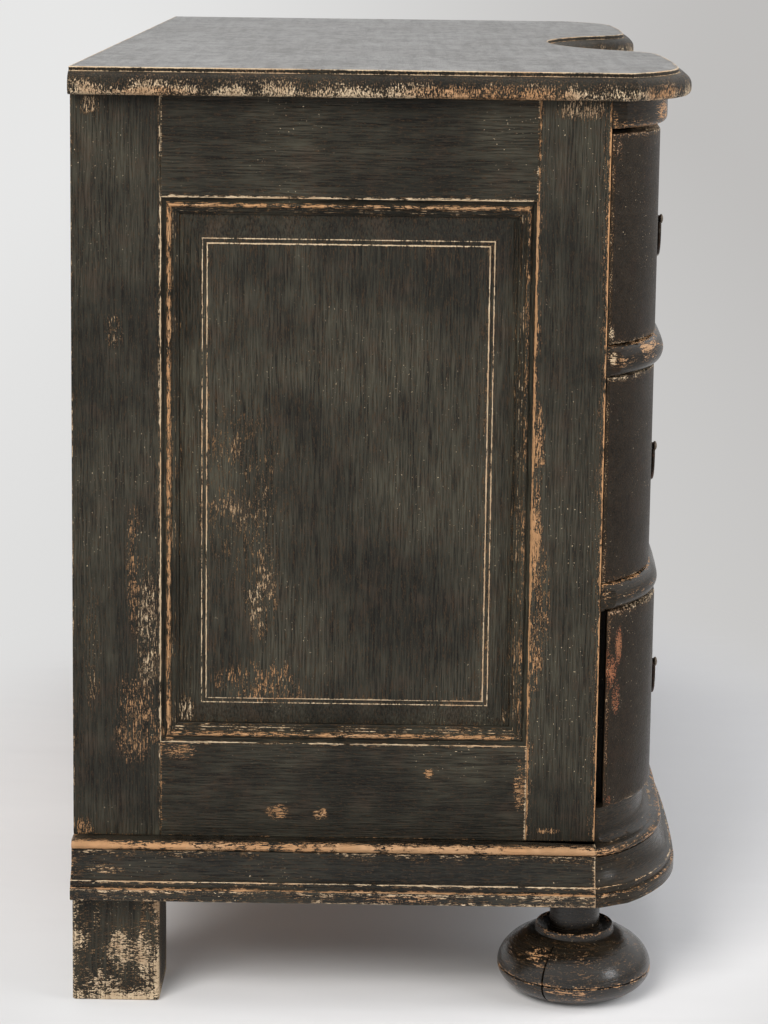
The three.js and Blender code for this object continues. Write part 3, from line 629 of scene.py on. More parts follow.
# Pieces across the front
def with_points(line, places, copies):
    """The line with a number of copies of a point at each distance from the middle, at both sides."""
    fuller = []
    for before, after in zip(line, line[1:]):
        fuller.append(before)
        for x in sorted([-x for x in places] + places):
            if before[0] < x < after[0]:
                share = (x - before[0]) / (after[0] - before[0])
                fuller += [tuple(a + (b - a) * share for a, b in zip(before, after))] * copies
    return fuller + [line[-1]]


def front_piece(section, corner, line, x_step, x_end):
    """A piece across the front, whose back lies between the stiles but whose face covers them.
    A section point is (reach, z, wear), and its first and last points are at the back."""
    stepped = with_points(line, [x_step], 2)
    rings = []
    for i, (x, forward, mitre_x, mitre_f) in enumerate(stepped):
        if i in (0, len(stepped) - 1):
            mitre_x, mitre_f = math.copysign(corner[0], x), corner[1]
        same_before = i > 0 and stepped[i - 1][0] == x
        same_after = i + 1 < len(stepped) and stepped[i + 1][0] == x
        deep = abs(x) < x_step - SEAM / 2
        deep = deep or (x < 0 and same_before) or (x > 0 and same_after)
        back = -CROSS_DEPTH if deep else SEAM
        ring = [at(x, back, section[0][1])]
        for reach, z, _ in section[1:-1]:
            out_x = max(-x_end, min(x_end, x + mitre_x * reach))
            ring.append(at(out_x, forward + mitre_f * reach, z))
        ring.append(at(x, back, section[-1][1]))
        rings.append((ring, [wear for _, _, wear in section]))
    return loft(rings)


def rail_section(z0, z1, crest, upper_edge, lower_edge):
    """A half-round nose. The crest's wear and the wear along its two edges are given."""
    middle = (z0 + z1) / 2
    rise = (z1 - z0) / 2
    points = [(0, z1, 0)]
    for i in range(RAIL_STEPS + 1):
        angle = math.pi / 2 - math.pi * i / RAIL_STEPS
        reach = (RAIL_NOSE + RAIL_TUCK) * math.cos(angle) - RAIL_TUCK
        share = abs(math.sin(angle))
        edge = upper_edge if i < RAIL_STEPS / 2 else lower_edge
        wear = crest * max(0, 1 - 1.7 * share) + edge * max(0, 5 * share - 4)
        points.append((reach, middle + rise * math.sin(angle), wear))
    return points + [(0, z0, 0)]


def frieze_section(z0, z1):
    """A flat band with its lower edge rounded back, and worn more the further down."""
    points = [(0, z1, 0), (FRIEZE_PROUD, z1, 0.1), (FRIEZE_PROUD, z1 - FRIEZE_BAND, 0.1)]
    for i, sine, cosine in quarter_turn(FRIEZE_STEPS):
        reach = FRIEZE_PROUD - FRIEZE_ROUND * (1 - cosine)
        points.append((reach, z0 + FRIEZE_ROUND * (1 - sine), -0.1 - 0.65 * i / FRIEZE_STEPS))
    return points + [(0, z0, 0)]


def fascia_section(z0, z1):
    """A flat band that runs out in a cove at its foot."""
    points = [(0, z1, 0), (0, z1, 0.3), (0, z1 - FASCIA_BAND, 0.1)]
    for i, sine, cosine in quarter_turn(FASCIA_STEPS):
        wear = 0.35 if i > FASCIA_STEPS - 2 else 0.05
        points.append((FASCIA_COVE * (1 - cosine), z0 + FASCIA_COVE * (1 - sine), wear))
    return points + [(0, z0, 0)]


# The dividing rails with the wear of their crest, upper edge and lower edge
RAILS = [("dividing_rail_upper", -0.36, -0.70, 0.20), ("dividing_rail_lower", -0.20, -0.85, 0.26)]


def make_cross_piece(prefix, name, paint, section, *wears):
    low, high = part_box(name)
    skin = front_piece(section(low.z, high.z, *wears), (0, DYING_SHARE), PLAN, STEP_X, HALF)
    piece(prefix + name, skin, paint, name)


def make_cross_pieces(paint):
    for name, *wears in RAILS:
        make_cross_piece("nosed_", name, paint, rail_section, *wears)
    make_cross_piece("shaped_", "frieze", paint, frieze_section)
    make_cross_piece("shaped_", "fascia", paint, fascia_section)


# Base moulding. In front it is worn by this share of its wear at the sides.
FRONT_WEAR_SHARE = 0.6


def base_profile(worn_share):
    """(reach, z, wear) from the shelf down: a bead, a cove and two fillets."""
    low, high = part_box("base_moulding_right")
    top, bottom = high.z, low.z
    bead_bottom = top - BASE_BEAD
    cove_bottom = bead_bottom - BASE_COVE_HEIGHT
    fillets = cove_bottom - BASE_UPPER_FILLET
    arris = fillets - BASE_CHAMFER
    upper_reach = BASE_REACH - BASE_STEP
    points = [(BASE_SHELF * 0.6, top, 0.0), (BASE_SHELF, top, -0.2)]
    for i in range(1, BASE_STEPS):
        angle = math.pi * i / BASE_STEPS
        reach = BASE_SHELF + BASE_BEAD_PROUD * math.sin(angle)
        points.append((reach, top - BASE_BEAD * (1 - math.cos(angle)) / 2, -1.15 * math.sin(angle)))
    points += [(BASE_SHELF, bead_bottom, 0.0), (BASE_COVE_TOP, bead_bottom, 0.35)]
    for i, sine, cosine in quarter_turn(BASE_STEPS)[1:-1]:
        reach = BASE_COVE_TOP + (upper_reach - BASE_COVE_TOP) * (1 - cosine)
        points.append((reach, bead_bottom - BASE_COVE_HEIGHT * sine, 0.15 if i == 1 else 0.0))
    points += [
        (upper_reach - 0.0011, cove_bottom + 0.0002, 0.3),
        (upper_reach, cove_bottom, 1.7),
        (upper_reach, cove_bottom - 0.0007, 0.4),
        (upper_reach, fillets + 0.0018, 0.0),
        (upper_reach, fillets, -0.3),
        (BASE_REACH - 0.0004, fillets - BASE_CHAMFER * 0.4, -1.3),
        (BASE_REACH, arris, 0.7),
        (BASE_REACH, arris - 0.003, 0.24),
        (BASE_REACH, bottom + 0.003, 0.2),
        (BASE_REACH, bottom + 0.0006, 0.5),
        (BASE_REACH - 0.0008, bottom, 0.4),
    ]
    return [(reach, z, wear * worn_share) for reach, z, wear in points]


def make_base(side_paint, front_paint):
    profile = base_profile(1.0)
    top, bottom = profile[0][1], profile[-1][1]
    section = [(0, top, 0)] + base_profile(FRONT_WEAR_SHARE) + [(0, bottom, 0)]
    (left_x, left_f), (right_x, right_f) = PLAN[0][:2], PLAN[-1][:2]
    line = [(left_x, SEAM, -1, 0), (left_x, left_f, -1, 0)]
    line += PLAN[1:-1] + [(right_x, right_f, 1, 0), (right_x, SEAM, 1, 0)]
    skin = front_piece(section, (1, 0), line, HALF - BASE_INSET - SEAM, HALF + BASE_REACH)
    piece("moulded_base_front", skin, front_paint, "base_moulding_front")
    outline = [(-BASE_INSET, top, 0)] + profile + [(-BASE_INSET, bottom, 0)]
    for name, side in SIDES:
        rings = []
        for y, worn in (
            (FRONT_Y, 1.0), (FRONT_Y + 0.0010, 0.4), (FRONT_Y + 0.004, 0.0), (FRONT_Y + 0.05, 0.0),
            (BACK_Y - 0.03, 0.0), (BACK_Y - 0.006, -0.1), (BACK_Y, -0.4),
        ):
            ring = [Vector((side * (HALF + reach), y, z)) for reach, z, _ in outline]
            rings.append((ring, [max((wear, worn), key=abs) for _, _, wear in outline]))
        piece("moulded_base_" + name, loft(rings), side_paint, "base_moulding_" + name)


# Top board
def top_profile(z0, z1):
    """(reach, z, wear) of the edge: a lip rounded back under, a long curve and a fillet, and then
    steps in over the top face, on which the wear dies away."""
    points = [(-TOP_UNDERSIDE_INSET, z0, 0.0), (-TOP_UNDERCUT, z0, 0.3)]
    for i, sine, cosine in quarter_turn(TOP_UNDERCUT_STEPS)[1:]:
        z = z0 + TOP_LIP * TOP_UNDERCUT_SHARE * (1 - cosine)
        points.append((-TOP_UNDERCUT * (1 - sine), z, 0.72 if i < TOP_UNDERCUT_STEPS else 0.66))
    points.append((0, z0 + TOP_LIP, 0.45))
    rise = z1 - z0 - TOP_LIP - TOP_EDGE_FILLET
    for i, sine, cosine in quarter_turn(TOP_CURVE_STEPS)[1:]:
        wear = 0.30 if i < 3 else 0.16 if i < TOP_CURVE_STEPS else 1.2
        points.append((-TOP_EDGE_SETBACK * (1 - cosine), z0 + TOP_LIP + rise * sine, wear))
    for inset, drop, wear in (
        (0, TOP_EDGE_FILLET - 0.0008, 0.2), (0, 0.0012, 0.15), (0, 0.0004, 1.7), (0.0004, 0, 1.7),
        (0.0014, 0, 0.5), (0.004, 0, 0.1), (0.009, 0, 0.0),
    ):
        points.append((-TOP_EDGE_SETBACK - inset, z1 - drop, wear))
    return points


def make_top(paint):
    low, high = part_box("top_board")
    side_x = HALF + TOP_SIDE_OVERHANG
    reach = TOP_FRONT_OVERHANG
    front = [(x + mitre_x * reach, forward + mitre_f * reach) for x, forward, mitre_x, mitre_f in PLAN]
    corner = front[0][1] - (side_x - abs(front[0][0])) * math.tan(CORNER_ANGLE)
    side_line = [(side_x, corner), (side_x, TOP_REAR_STATION - CASE_DEPTH), (side_x, -CASE_DEPTH)]
    lip = with_mitres([(-x, forward) for x, forward in side_line[::-1]] + front[1:-1] + side_line)
    rings = []
    for out, z, wear in top_profile(low.z, high.z):
        rear = max(0, -out - TOP_EDGE_SETBACK)
        ring = []
        for i, (x, forward, mitre_x, mitre_f) in enumerate(lip):
            behind = rear if i in (0, len(lip) - 1) else 0
            ring.append(at(x + mitre_x * out, forward + mitre_f * out + behind, z))
        rings.append((ring, wear))
    piece("moulded_top", loft(rings), paint, "top_board")


# The side frames' members: how worn their rear, top, front and bottom edges are, and then the arris,
# the bead and the steps of their moulding, where the steps' pale lines are partly wear and partly
# painted highlights
REAR_STILE_WEARS = (0.35, 0.3, 0.62, -0.25), (1.0, -0.82, 0.5)
FRONT_STILE_WEARS = (-0.95, 0.3, -1.4, -0.2), (-1.3, -0.35, 0.7)
TOP_RAIL_WEARS = (0.5, 0.3, 0.6, 0.7), (1.0, -0.74, 0.7)
BOTTOM_RAIL_WEARS = (-0.7, 0.35, 0.85, -0.25), (1.0, -0.76, 0.9)
PANEL_WEARS = (0.8, 0.85, 1.0, 0.9)


def panel_levels(opening):
    """The raised panel's nested rectangles, from its back up the bevel to the field's middle."""
    tongue = MOULDING_WIDTH + RUNNING_GAP
    bevel_end = MOULDING_WIDTH + BEVEL_WIDTH
    bevel_top = FIELD_RECESS + FIELD_STEP
    field = bevel_end + FIELD_FILLET
    levels = []
    for inset, depth, wear in (
        (SEAM, PANEL_BACK, 0),
        (SEAM, MOULDING_DEPTH + SEAM, 0),
        (tongue, MOULDING_DEPTH + SEAM, 0),
        (tongue, bevel_top + BEVEL_RISE, 0.2),
        (tongue + 0.004, bevel_top + BEVEL_RISE * 0.81, 0.05),
        (bevel_end - 0.003, bevel_top + BEVEL_RISE * 0.14, 0.0),
        (bevel_end - 0.0007, bevel_top + 0.0002, 0.15),
        (bevel_end, bevel_top, 1.5),
        (bevel_end + 0.0006, bevel_top, 0.15),
        (field - 0.0008, bevel_top, 0.1),
        (field - 0.0004, bevel_top - FIELD_STEP * 0.5, 0.4),
        (field, FIELD_RECESS + 0.0002, 1.8),
        (field + 0.0003, FIELD_RECESS, 1.8),
        (field + 0.0010, FIELD_RECESS, 0.2),
        (field + 0.003, FIELD_RECESS, 0.1),
        (field + 0.015, FIELD_RECESS, 0.0),
    ):
        levels.append((rectangle(*opening, inset, PANEL_CORNER), depth, wear))
    return levels


def make_side(name, side, paint_upright, paint_level, paint_panel):
    rear_low, rear_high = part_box("rear_stile_" + name)
    panel_low, panel_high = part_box("side_panel_" + name)
    top_low, top_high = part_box("side_top_rail_" + name)
    bottom_low, bottom_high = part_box("side_bottom_rail_" + name)
    rear = top_high.y + SEAM
    front = top_low.y - SEAM
    upper = panel_high.z + SEAM
    lower = panel_low.z - SEAM
    for made, solid, paint, box, wears, place, ends in (
        ("stile_rear_", "rear_stile_", paint_upright, (rear, rear_high.y, rear_low.z, rear_high.z),
         REAR_STILE_WEARS, lambda inward, along: (rear - inward, along), (lower, upper)),
        ("stile_front_", "front_stile_", paint_upright, (FRONT_Y, front, rear_low.z, rear_high.z),
         FRONT_STILE_WEARS, lambda inward, along: (front + inward, along), (lower, upper)),
        ("rail_top_", "side_top_rail_", paint_level, (top_low.y, top_high.y, upper, top_high.z),
         TOP_RAIL_WEARS, lambda inward, along: (along, upper - inward), (front, rear)),
        ("rail_bottom_", "side_bottom_rail_", paint_level, (bottom_low.y, bottom_high.y, bottom_low.z, lower),
         BOTTOM_RAIL_WEARS, lambda inward, along: (along, lower + inward), (front, rear)),
    ):
        edge_wears, part_wears_and_highlights = wears
        skin = joined(side_board(side, box, edge_wears), moulding(side, place, *ends, part_wears_and_highlights))
        piece("moulded_" + made + name, skin, paint, solid + name)
    skin = nested(side, panel_levels((front, rear, lower, upper)), PANEL_WEARS)
    piece("fielded_panel_" + name, skin, paint_panel, "side_panel_" + name)


# The bun's scribed line, as (share of its width up, share of its depth, wear)
SCRIBE_SHARES = [
    (-1.4, 0.05, -0.25), (-0.8, 0, -0.8), (-0.3, 1, 0.0), (0.3, 1, 0.0), (0.8, 0, -0.8), (1.4, 0.05, -0.25),
]


def bun_profile():
    """(radius, z, wear) of the bun, its scribed line, its dished collar and its neck."""
    flat_angle = math.asin(BUN_FLAT_RADIUS / BUN_RADIUS)
    collar_angle = math.pi - math.asin(NECK_RADIUS / BUN_RADIUS)
    spread = math.cos(flat_angle) - math.cos(collar_angle)
    equator = BUN_HEIGHT * math.cos(flat_angle) / spread
    points = [(BUN_FLAT_RADIUS * 0.5, 0, 0.0), (BUN_FLAT_RADIUS * 0.97, 0, 0.5)]
    for i in range(1, BUN_STEPS):
        angle = flat_angle + (collar_angle - flat_angle) * i / BUN_STEPS
        radius = BUN_RADIUS * math.sin(angle) - 0.0001
        z = BUN_HEIGHT * (math.cos(flat_angle) - math.cos(angle)) / spread
        if z < equator - SCRIBE_WIDTH * 1.6:
            points.append((radius, z, -0.14))
        elif z > equator + SCRIBE_WIDTH * 1.6 and radius > COLLAR_RADIUS + 0.0015:
            points.append((radius, equator + (z - equator) * SHOULDER_STRETCH, -0.08))
    for offset, depth, wear in SCRIBE_SHARES:
        points.append((BUN_RADIUS - 0.0002 - SCRIBE_DEPTH * depth, equator + offset * SCRIBE_WIDTH, wear))
    points.sort(key=lambda point: point[1])
    top = BUN_HEIGHT + COLLAR_HEIGHT
    points += [
        (COLLAR_RADIUS + 0.0004, points[-1][1] + 0.0008, 0.0),
        (COLLAR_RADIUS, top - 0.0024, -0.2),
        (COLLAR_RADIUS - 0.0003, top - 0.0009, -0.34),
        (COLLAR_RADIUS - 0.0012, top, -0.34),
        (COLLAR_RADIUS - 0.004, top - COLLAR_DISH * 0.45, -0.2),
        (NECK_RADIUS + 0.003, top - COLLAR_DISH, 0.0),
        (NECK_RADIUS, top - COLLAR_DISH * 0.7, 0.0),
        (NECK_RADIUS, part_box("bun_foot_right")[1].z, 0.0),
    ]
    return points


def make_buns(paint):
    """Each bun is turned on an upright axis, and cracked from its foot up at one bearing."""
    for name, side in SIDES:
        low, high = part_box("bun_foot_" + name)
        middle = (low + high) / 2
        bearing = CRACK_BEARING if side < 0 else math.pi - CRACK_BEARING
        angles = [a for a in circle(BUN_SEGMENTS) if abs(a - bearing) > 2 * CRACK_WIDTH]
        angles = sorted(angles + [bearing - CRACK_WIDTH, bearing, bearing + CRACK_WIDTH])
        rings = []
        for radius, z, wear in bun_profile():
            ring = []
            for angle in angles:
                cut = CRACK_DEPTH if angle == bearing and z < CRACK_TOP else 0
                r = radius - min(cut, radius * 0.5)
                ring.append(Vector((middle.x + r * math.cos(angle), middle.y + r * math.sin(angle), z)))
            rings.append((ring, wear))
        piece("turned_bun_" + name, loft(rings), paint, "bun_foot_" + name)


# How a block's wear dies away from its corners, as (distance, wear)
BLOCK_FADE = [(0.0015, 0.8), (0.006, 0.36), (0.016, 0.08)]


def make_blocks(paint):
    for name, _ in SIDES:
        low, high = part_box("block_foot_" + name)
        rings = []
        for z, inset, level_wear in (
            (low.z, BLOCK_CHAMFER, 0.9), (low.z + BLOCK_CHAMFER, 0, 1.0), (low.z + 0.006, 0, 0.75),
            (low.z + 0.014, 0, 0.3), (low.z + 0.04, 0, 0.2), (high.z - 0.02, 0, 0.15),
            (high.z - 0.004, 0, 0.3), (high.z, 0, 0.6),
        ):
            x0, x1, y0, y1 = low.x + inset, high.x - inset, low.y + inset, high.y - inset
            corners = [Vector((x, y, z)) for x, y in ((x0, y0), (x1, y0), (x1, y1), (x0, y1))]
            ring, worn = [], []
            for corner, following in zip(corners, corners[1:] + corners[:1]):
                ahead = (following - corner).normalized()
                ring += [corner + ahead * distance for distance, _ in BLOCK_FADE]
                ring += [following - ahead * distance for distance, _ in BLOCK_FADE[::-1]]
                worn += [max(level_wear, wear) for _, wear in BLOCK_FADE + BLOCK_FADE[::-1]]
            rings.append((ring, worn))
        piece("worn_block_" + name, loft(rings), paint, "block_foot_" + name)


# Drawer fronts. Their lower and upper edges are (distance from the edge, share of the arris, wear
# below, wear above), and the wear of their ends falls from the arris inwards.
FRONT_EDGE_SHARES = [
    (0, 1.0, 0.5, 0.6), (0.0006, 0.3, 0.6, 0.7), (0.0018, 0.0, 0.3, 0.35), (0.005, 0.0, 0.1, 0.12),
    (0.014, 0.0, 0.0, 0.0),
]
FRONT_END_STATIONS = [HALF - 0.004, HALF - 0.0012]
FRONT_END_WEARS = [0.34, 0.1]
FRONT_RETURN_WEAR = 0.3


def make_drawer_front(level, paint):
    name = "drawer_front_" + level
    low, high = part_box(name)
    pull = FRONT_Y - low.y - LOBE_FORWARD - SEAT
    end = HALF - FRONT_END_GAP
    outside = INNER - BOX_SIDE_GAP
    corner_x = outside - FRONT_CORNER_WIDTH
    back_end = [(end, FRONT_SEAT_GAP), (outside, FRONT_SEAT_GAP), (outside, -FRONT_CORNER_DEPTH)]
    back_end.append((corner_x, -FRONT_CORNER_DEPTH))
    behind = back_end[:]
    for x, forward, mitre_x, mitre_f in PLAN[::-1]:
        inner_x = x - mitre_x * FRONT_THICKNESS
        if abs(inner_x) < corner_x:
            behind.append((inner_x, forward - mitre_f * FRONT_THICKNESS))
    behind += [(-x, forward) for x, forward in back_end[::-1]]
    levels = [(low.z + lift, ease, wear) for lift, ease, wear, _ in FRONT_EDGE_SHARES]
    levels += [(high.z - drop, ease, wear) for drop, ease, _, wear in FRONT_EDGE_SHARES[::-1]]
    face = with_points(PLAN, FRONT_END_STATIONS, 1)
    rings = []
    for z, ease, level_wear in levels:
        ring, worn = [], []
        for i, (x, forward, mitre_x, mitre_f) in enumerate(face):
            from_end = min(i, len(face) - 1 - i)
            reach = -FRONT_ARRIS * ease if from_end else 0
            px = max(-end, min(end, x + mitre_x * reach))
            ring.append(at(px, forward + mitre_f * reach + pull, z))
            worn.append(max([level_wear] + FRONT_END_WEARS[from_end:from_end + 1]))
        for x, forward in behind:
            ring.append(at(x, forward + pull, z))
            worn.append(FRONT_RETURN_WEAR if forward > 0 and abs(x) > outside else 0.0)
        rings.append((ring, worn))
    piece("serpentine_" + name, loft(rings), paint, name, "drawer_" + level)


# Handles and keyhole plates. A plate's edge is (share of its thickness out, share of its size, wear),
# and a bail's half is shares of its half span and of its drop.
PLATE_SHARES = [(0, 1, 0.1), (0.4, 1, 0.5), (0.8, 0.955, 0.9), (1, 0.9, 0.6)]
BOW_SHARES = [(1, 0), (0.93, 0.01), (0.89, 0.1), (0.9, 0.32), (0.8, 0.68), (0.48, 0.94), (0, 1)]


def shift(skin, place):
    points, faces, wear = skin
    return [place + p for p in points], faces, wear


def plate_skin():
    """Two round ends with a bar between them."""
    meet = math.asin(PLATE_BAR / 2 / ROSETTE_RADIUS)
    outline = []
    for side in (1, -1):
        for i in range(ROSETTE_STEPS + 1):
            angle = (math.pi - meet) * (2 * i / ROSETTE_STEPS - 1)
            across, up = ROSETTE_RADIUS * math.cos(angle), ROSETTE_RADIUS * math.sin(angle)
            outline.append((side * HANDLE_SPAN / 2, side * across, side * up))
    rings = []
    for out, share, wear in PLATE_SHARES:
        y = -RUNNING_GAP - out * PLATE_THICKNESS
        ring = [Vector((middle + across * share, y, up * share)) for middle, across, up in outline]
        rings.append((ring, wear))
    return loft(rings)


def rosette_skin():
    """A turned boss on the plate, and the post with a waist and a knob, along -Y."""
    face = RUNNING_GAP + PLATE_THICKNESS
    profile = [
        (0.0105, -0.0004, 0.2), (0.0100, 0.0004, 0.9), (0.0085, 0.0006, 0.3), (0.0070, 0.0003, 0.1),
        (0.0060, 0.0009, 0.7), (0.0048, 0.0010, 0.3), (POST_RADIUS, 0.0008, 0.3),
        (POST_WAIST, 0.0020, 0.1), (POST_WAIST + 0.0004, 0.0030, 0.1),
    ]
    knob = POST_LENGTH - POST_PIVOT
    for i in range(KNOB_STEPS + 1):
        angle = math.pi * (0.18 + 0.74 * i / KNOB_STEPS)
        out = POST_PIVOT + knob * 0.5 * (0.35 - 1.35 * math.cos(angle)) / 1.05
        profile.append((POST_RADIUS * math.sin(angle), min(out, POST_LENGTH - 0.0001), 0.8))
    angles = circle(ROSETTE_STEPS)
    rings = []
    for radius, out, wear in profile:
        ring = [Vector((radius * math.cos(a), -face - out, radius * math.sin(a))) for a in angles]
        rings.append((ring, wear))
    return loft(rings)


def spline(points, steps):
    """A smooth curve through points, by a Catmull-Rom spline."""
    curve = []
    for i in range(len(points) - 1):
        before = points[max(i - 1, 0)]
        start, end = points[i], points[i + 1]
        after = points[min(i + 2, len(points) - 1)]
        for k in range(steps):
            t = k / steps
            a = -before + 3 * start - 3 * end + after
            b = 2 * before - 5 * start + 4 * end - after
            c = end - before
            curve.append(0.5 * (a * t**3 + b * t**2 + c * t) + start)
    return curve + [points[-1]]


def bail_skin():
    """A bowed rod, thickest at its middle, where it is handled."""
    reach = HANDLE_SPAN / 2 - POST_RADIUS - RUNNING_GAP
    down = [Vector((-x * reach, 0, -z * BAIL_DROP)) for x, z in BOW_SHARES]
    up = [Vector((-p.x, 0, p.z)) for p in down[:-1]][::-1]
    path = spline(down + up, BAIL_STEPS)
    rings = []
    for i, p in enumerate(path):
        along = (path[min(i + 1, len(path) - 1)] - path[max(i - 1, 0)]).normalized()
        across = Vector((-along.z, 0, along.x))
        middle = abs(p.x) / reach
        girth = BAIL_RADIUS * (0.98 - 0.22 * middle)
        ring = []
        for angle in circle(BAIL_SEGMENTS):
            ring.append(p + across * girth * math.cos(angle) + Vector((0, girth * math.sin(angle), 0)))
        rings.append((ring, 0.9 if middle < 0.5 else 0.4))
    return loft(rings)


def keyplate_skin():
    """An oval plate with a bevelled edge and a keyhole right through it."""
    slot = KEYHOLE_SLOT_WIDTH / 2
    meet = math.asin(slot / KEYHOLE_RADIUS)
    oval, hole = [], []
    for angle in circle(KEYPLATE_STEPS):
        oval.append((KEYPLATE_WIDTH / 2 * math.sin(angle), -KEYPLATE_HEIGHT / 2 * math.cos(angle)))
        if min(angle, 2 * math.pi - angle) < meet:
            hole.append((max(-slot, min(slot, KEYHOLE_DROP * math.tan(angle))), -KEYHOLE_DROP))
        else:
            hole.append((KEYHOLE_RADIUS * math.sin(angle), -KEYHOLE_RADIUS * math.cos(angle)))
    rings = []
    for points, share, out, wear in (
        (oval, 1, 0, 0.1), (oval, 1, 0.4, 0.6), (oval, 0.93, 1, 0.9), (oval, 0.85, 1, 0.4),
        (hole, 1.12, 1, 0.5), (hole, 1, 0.8, 0.8), (hole, 1, 0, 0.2),
    ):
        ring = [Vector((x * share, -out * PLATE_THICKNESS, z * share)) for x, z in points]
        rings.append((ring, wear))
    points, faces, wear = loft(rings, capped=False)
    last = (len(rings) - 1) * KEYPLATE_STEPS
    for i in range(KEYPLATE_STEPS):
        j = (i + 1) % KEYPLATE_STEPS
        faces.append((last + i, last + j, j, i))
    return points, faces, wear


def make_fittings(level, iron):
    drawer = "drawer_" + level
    for hand, _ in SIDES:
        name = hand + "_" + level
        plate_low, plate_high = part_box("handle_plate_" + name)
        middle = (plate_low + plate_high) / 2
        place = Vector((middle.x, plate_high.y + RUNNING_GAP, middle.z))
        plate = plate_skin()
        for foot in (-1, 1):
            plate = joined(plate, shift(rosette_skin(), Vector((foot * HANDLE_SPAN / 2, 0, 0))))
        piece("handle_rosettes_" + name, shift(plate, place), iron, "handle_plate_" + name, drawer)
        bail_low, bail_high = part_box("bail_" + name)
        pivot = Vector((middle.x, (bail_low.y + bail_high.y) / 2, middle.z))
        piece("swan_bail_" + name, shift(bail_skin(), pivot), iron, "bail_" + name, "handle_" + name)
    low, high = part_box("keyhole_plate_" + level)
    place = Vector(((low.x + high.x) / 2, high.y, (low.z + high.z) / 2))
    skin = shift(keyplate_skin(), place)
    piece("oval_keyplate_" + level, skin, iron, "keyhole_plate_" + level, drawer)


# Boards that stay as the frame has them, with eased edges
def ease(node, material, width):
    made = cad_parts[node]
    bevel = made.modifiers.new("eased edges", "BEVEL")
    bevel.width = width
    bevel.segments = 2
    bevel.limit_method = "ANGLE"
    made.data.materials.clear()
    made.data.materials.append(material)


def make_back(wood):
    """The back is four boards that lie one above another, with an open joint between them."""
    low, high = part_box("back_panel")
    height = (high.z - low.z) / BACK_BOARDS
    skin = ([], [], [])
    for i in range(BACK_BOARDS):
        z0, z1 = low.z + i * height, low.z + (i + 1) * height
        gap = BACK_JOINT_GAPS[i % 2]
        rings = []
        for y, inset in ((low.y, 0), (high.y - 0.0012, 0), (high.y - 0.0003, 0.0006), (high.y, 0.0015)):
            z_low = z0 + inset + (gap if i else 0)
            z_high = z1 - inset - (gap if i < BACK_BOARDS - 1 else 0)
            x = high.x - inset
            ring = [(-x, y, z_low), (x, y, z_low), (x, y, z_high), (-x, y, z_high)]
            rings.append((ring, 0.5 if inset else 0.0))
        skin = joined(skin, loft(rings))
    piece("planked_back", skin, wood, "back_panel")


# Worn and stained patches on the side that the camera sees, from (y, z, y radius, z radius, amount),
# and then those elsewhere, as (centre, radii, amount)
SPOT_DEPTH = 0.3


def side_spots(*rows):
    return [((-HALF, y, z), (SPOT_DEPTH, wide, high), amount) for y, z, wide, high, amount in rows]


UPRIGHT_SPOTS = side_spots(
    (0.212, 0.345, 0.016, 0.110, 0.36), (0.224, 0.400, 0.010, 0.080, -0.32),
    (0.269, 0.160, 0.012, 0.014, -0.55), (0.262, 0.816, 0.014, 0.012, 0.50),
    (-0.170, 0.817, 0.032, 0.014, 0.66), (-0.152, 0.163, 0.014, 0.004, -0.75),
    (-0.136, 0.440, 0.007, 0.080, -0.74), (-0.137, 0.520, 0.008, 0.050, -0.56),
    (-0.138, 0.330, 0.009, 0.060, -0.46), (-0.142, 0.375, 0.012, 0.070, -0.34),
    (0.240, 0.617, 0.012, 0.025, 0.42), (0.222, 0.262, 0.030, 0.060, -0.36),
    (0.204, 0.250, 0.014, 0.018, -0.50), (0.262, 0.330, 0.012, 0.090, 0.28),
)
LEVEL_SPOTS = side_spots(
    (0.182, 0.234, 0.020, 0.012, -0.46), (0.200, 0.247, 0.018, 0.012, -0.50),
    (0.094, 0.177, 0.013, 0.010, -0.55), (0.055, 0.176, 0.009, 0.009, -0.50),
    (-0.043, 0.216, 0.006, 0.007, -0.70), (-0.126, 0.205, 0.008, 0.032, -0.40),
)
PANEL_SPOTS = side_spots(
    (0.178, 0.270, 0.012, 0.022, 0.44), (-0.112, 0.268, 0.008, 0.012, 0.60),
    (0.110, 0.385, 0.022, 0.070, 0.34), (0.130, 0.470, 0.060, 0.120, 0.22),
    (0.110, 0.297, 0.060, 0.030, -0.30),
)
BASE_SPOTS = side_spots(
    (0.272, 0.112, 0.012, 0.010, 0.45), (0.250, 0.127, 0.030, 0.006, 0.36),
    (-0.020, 0.107, 0.050, 0.006, -0.45),
)
BLOCK_SPOTS = side_spots(
    (0.271, 0.062, 0.016, 0.024, 0.60), (0.257, 0.078, 0.008, 0.024, 0.58),
    (0.235, 0.045, 0.020, 0.046, 0.56), (0.214, 0.050, 0.016, 0.050, 0.60),
    (0.250, 0.020, 0.040, 0.020, 0.42),
)
FRONT_SPOTS = [
    ((-0.557, -0.201, 0.597), (0.012, 0.006, 0.010), 0.66),
    ((-0.557, -0.201, 0.381), (0.010, 0.005, 0.012), 0.80),
    ((-0.500, -0.248, 0.814), (0.040, 0.020, 0.014), -0.75),
    ((-0.520, -0.240, 0.603), (0.050, 0.030, 0.006), -0.75),
    ((-0.530, -0.240, 0.100), (0.060, 0.050, 0.007), 0.50),
]
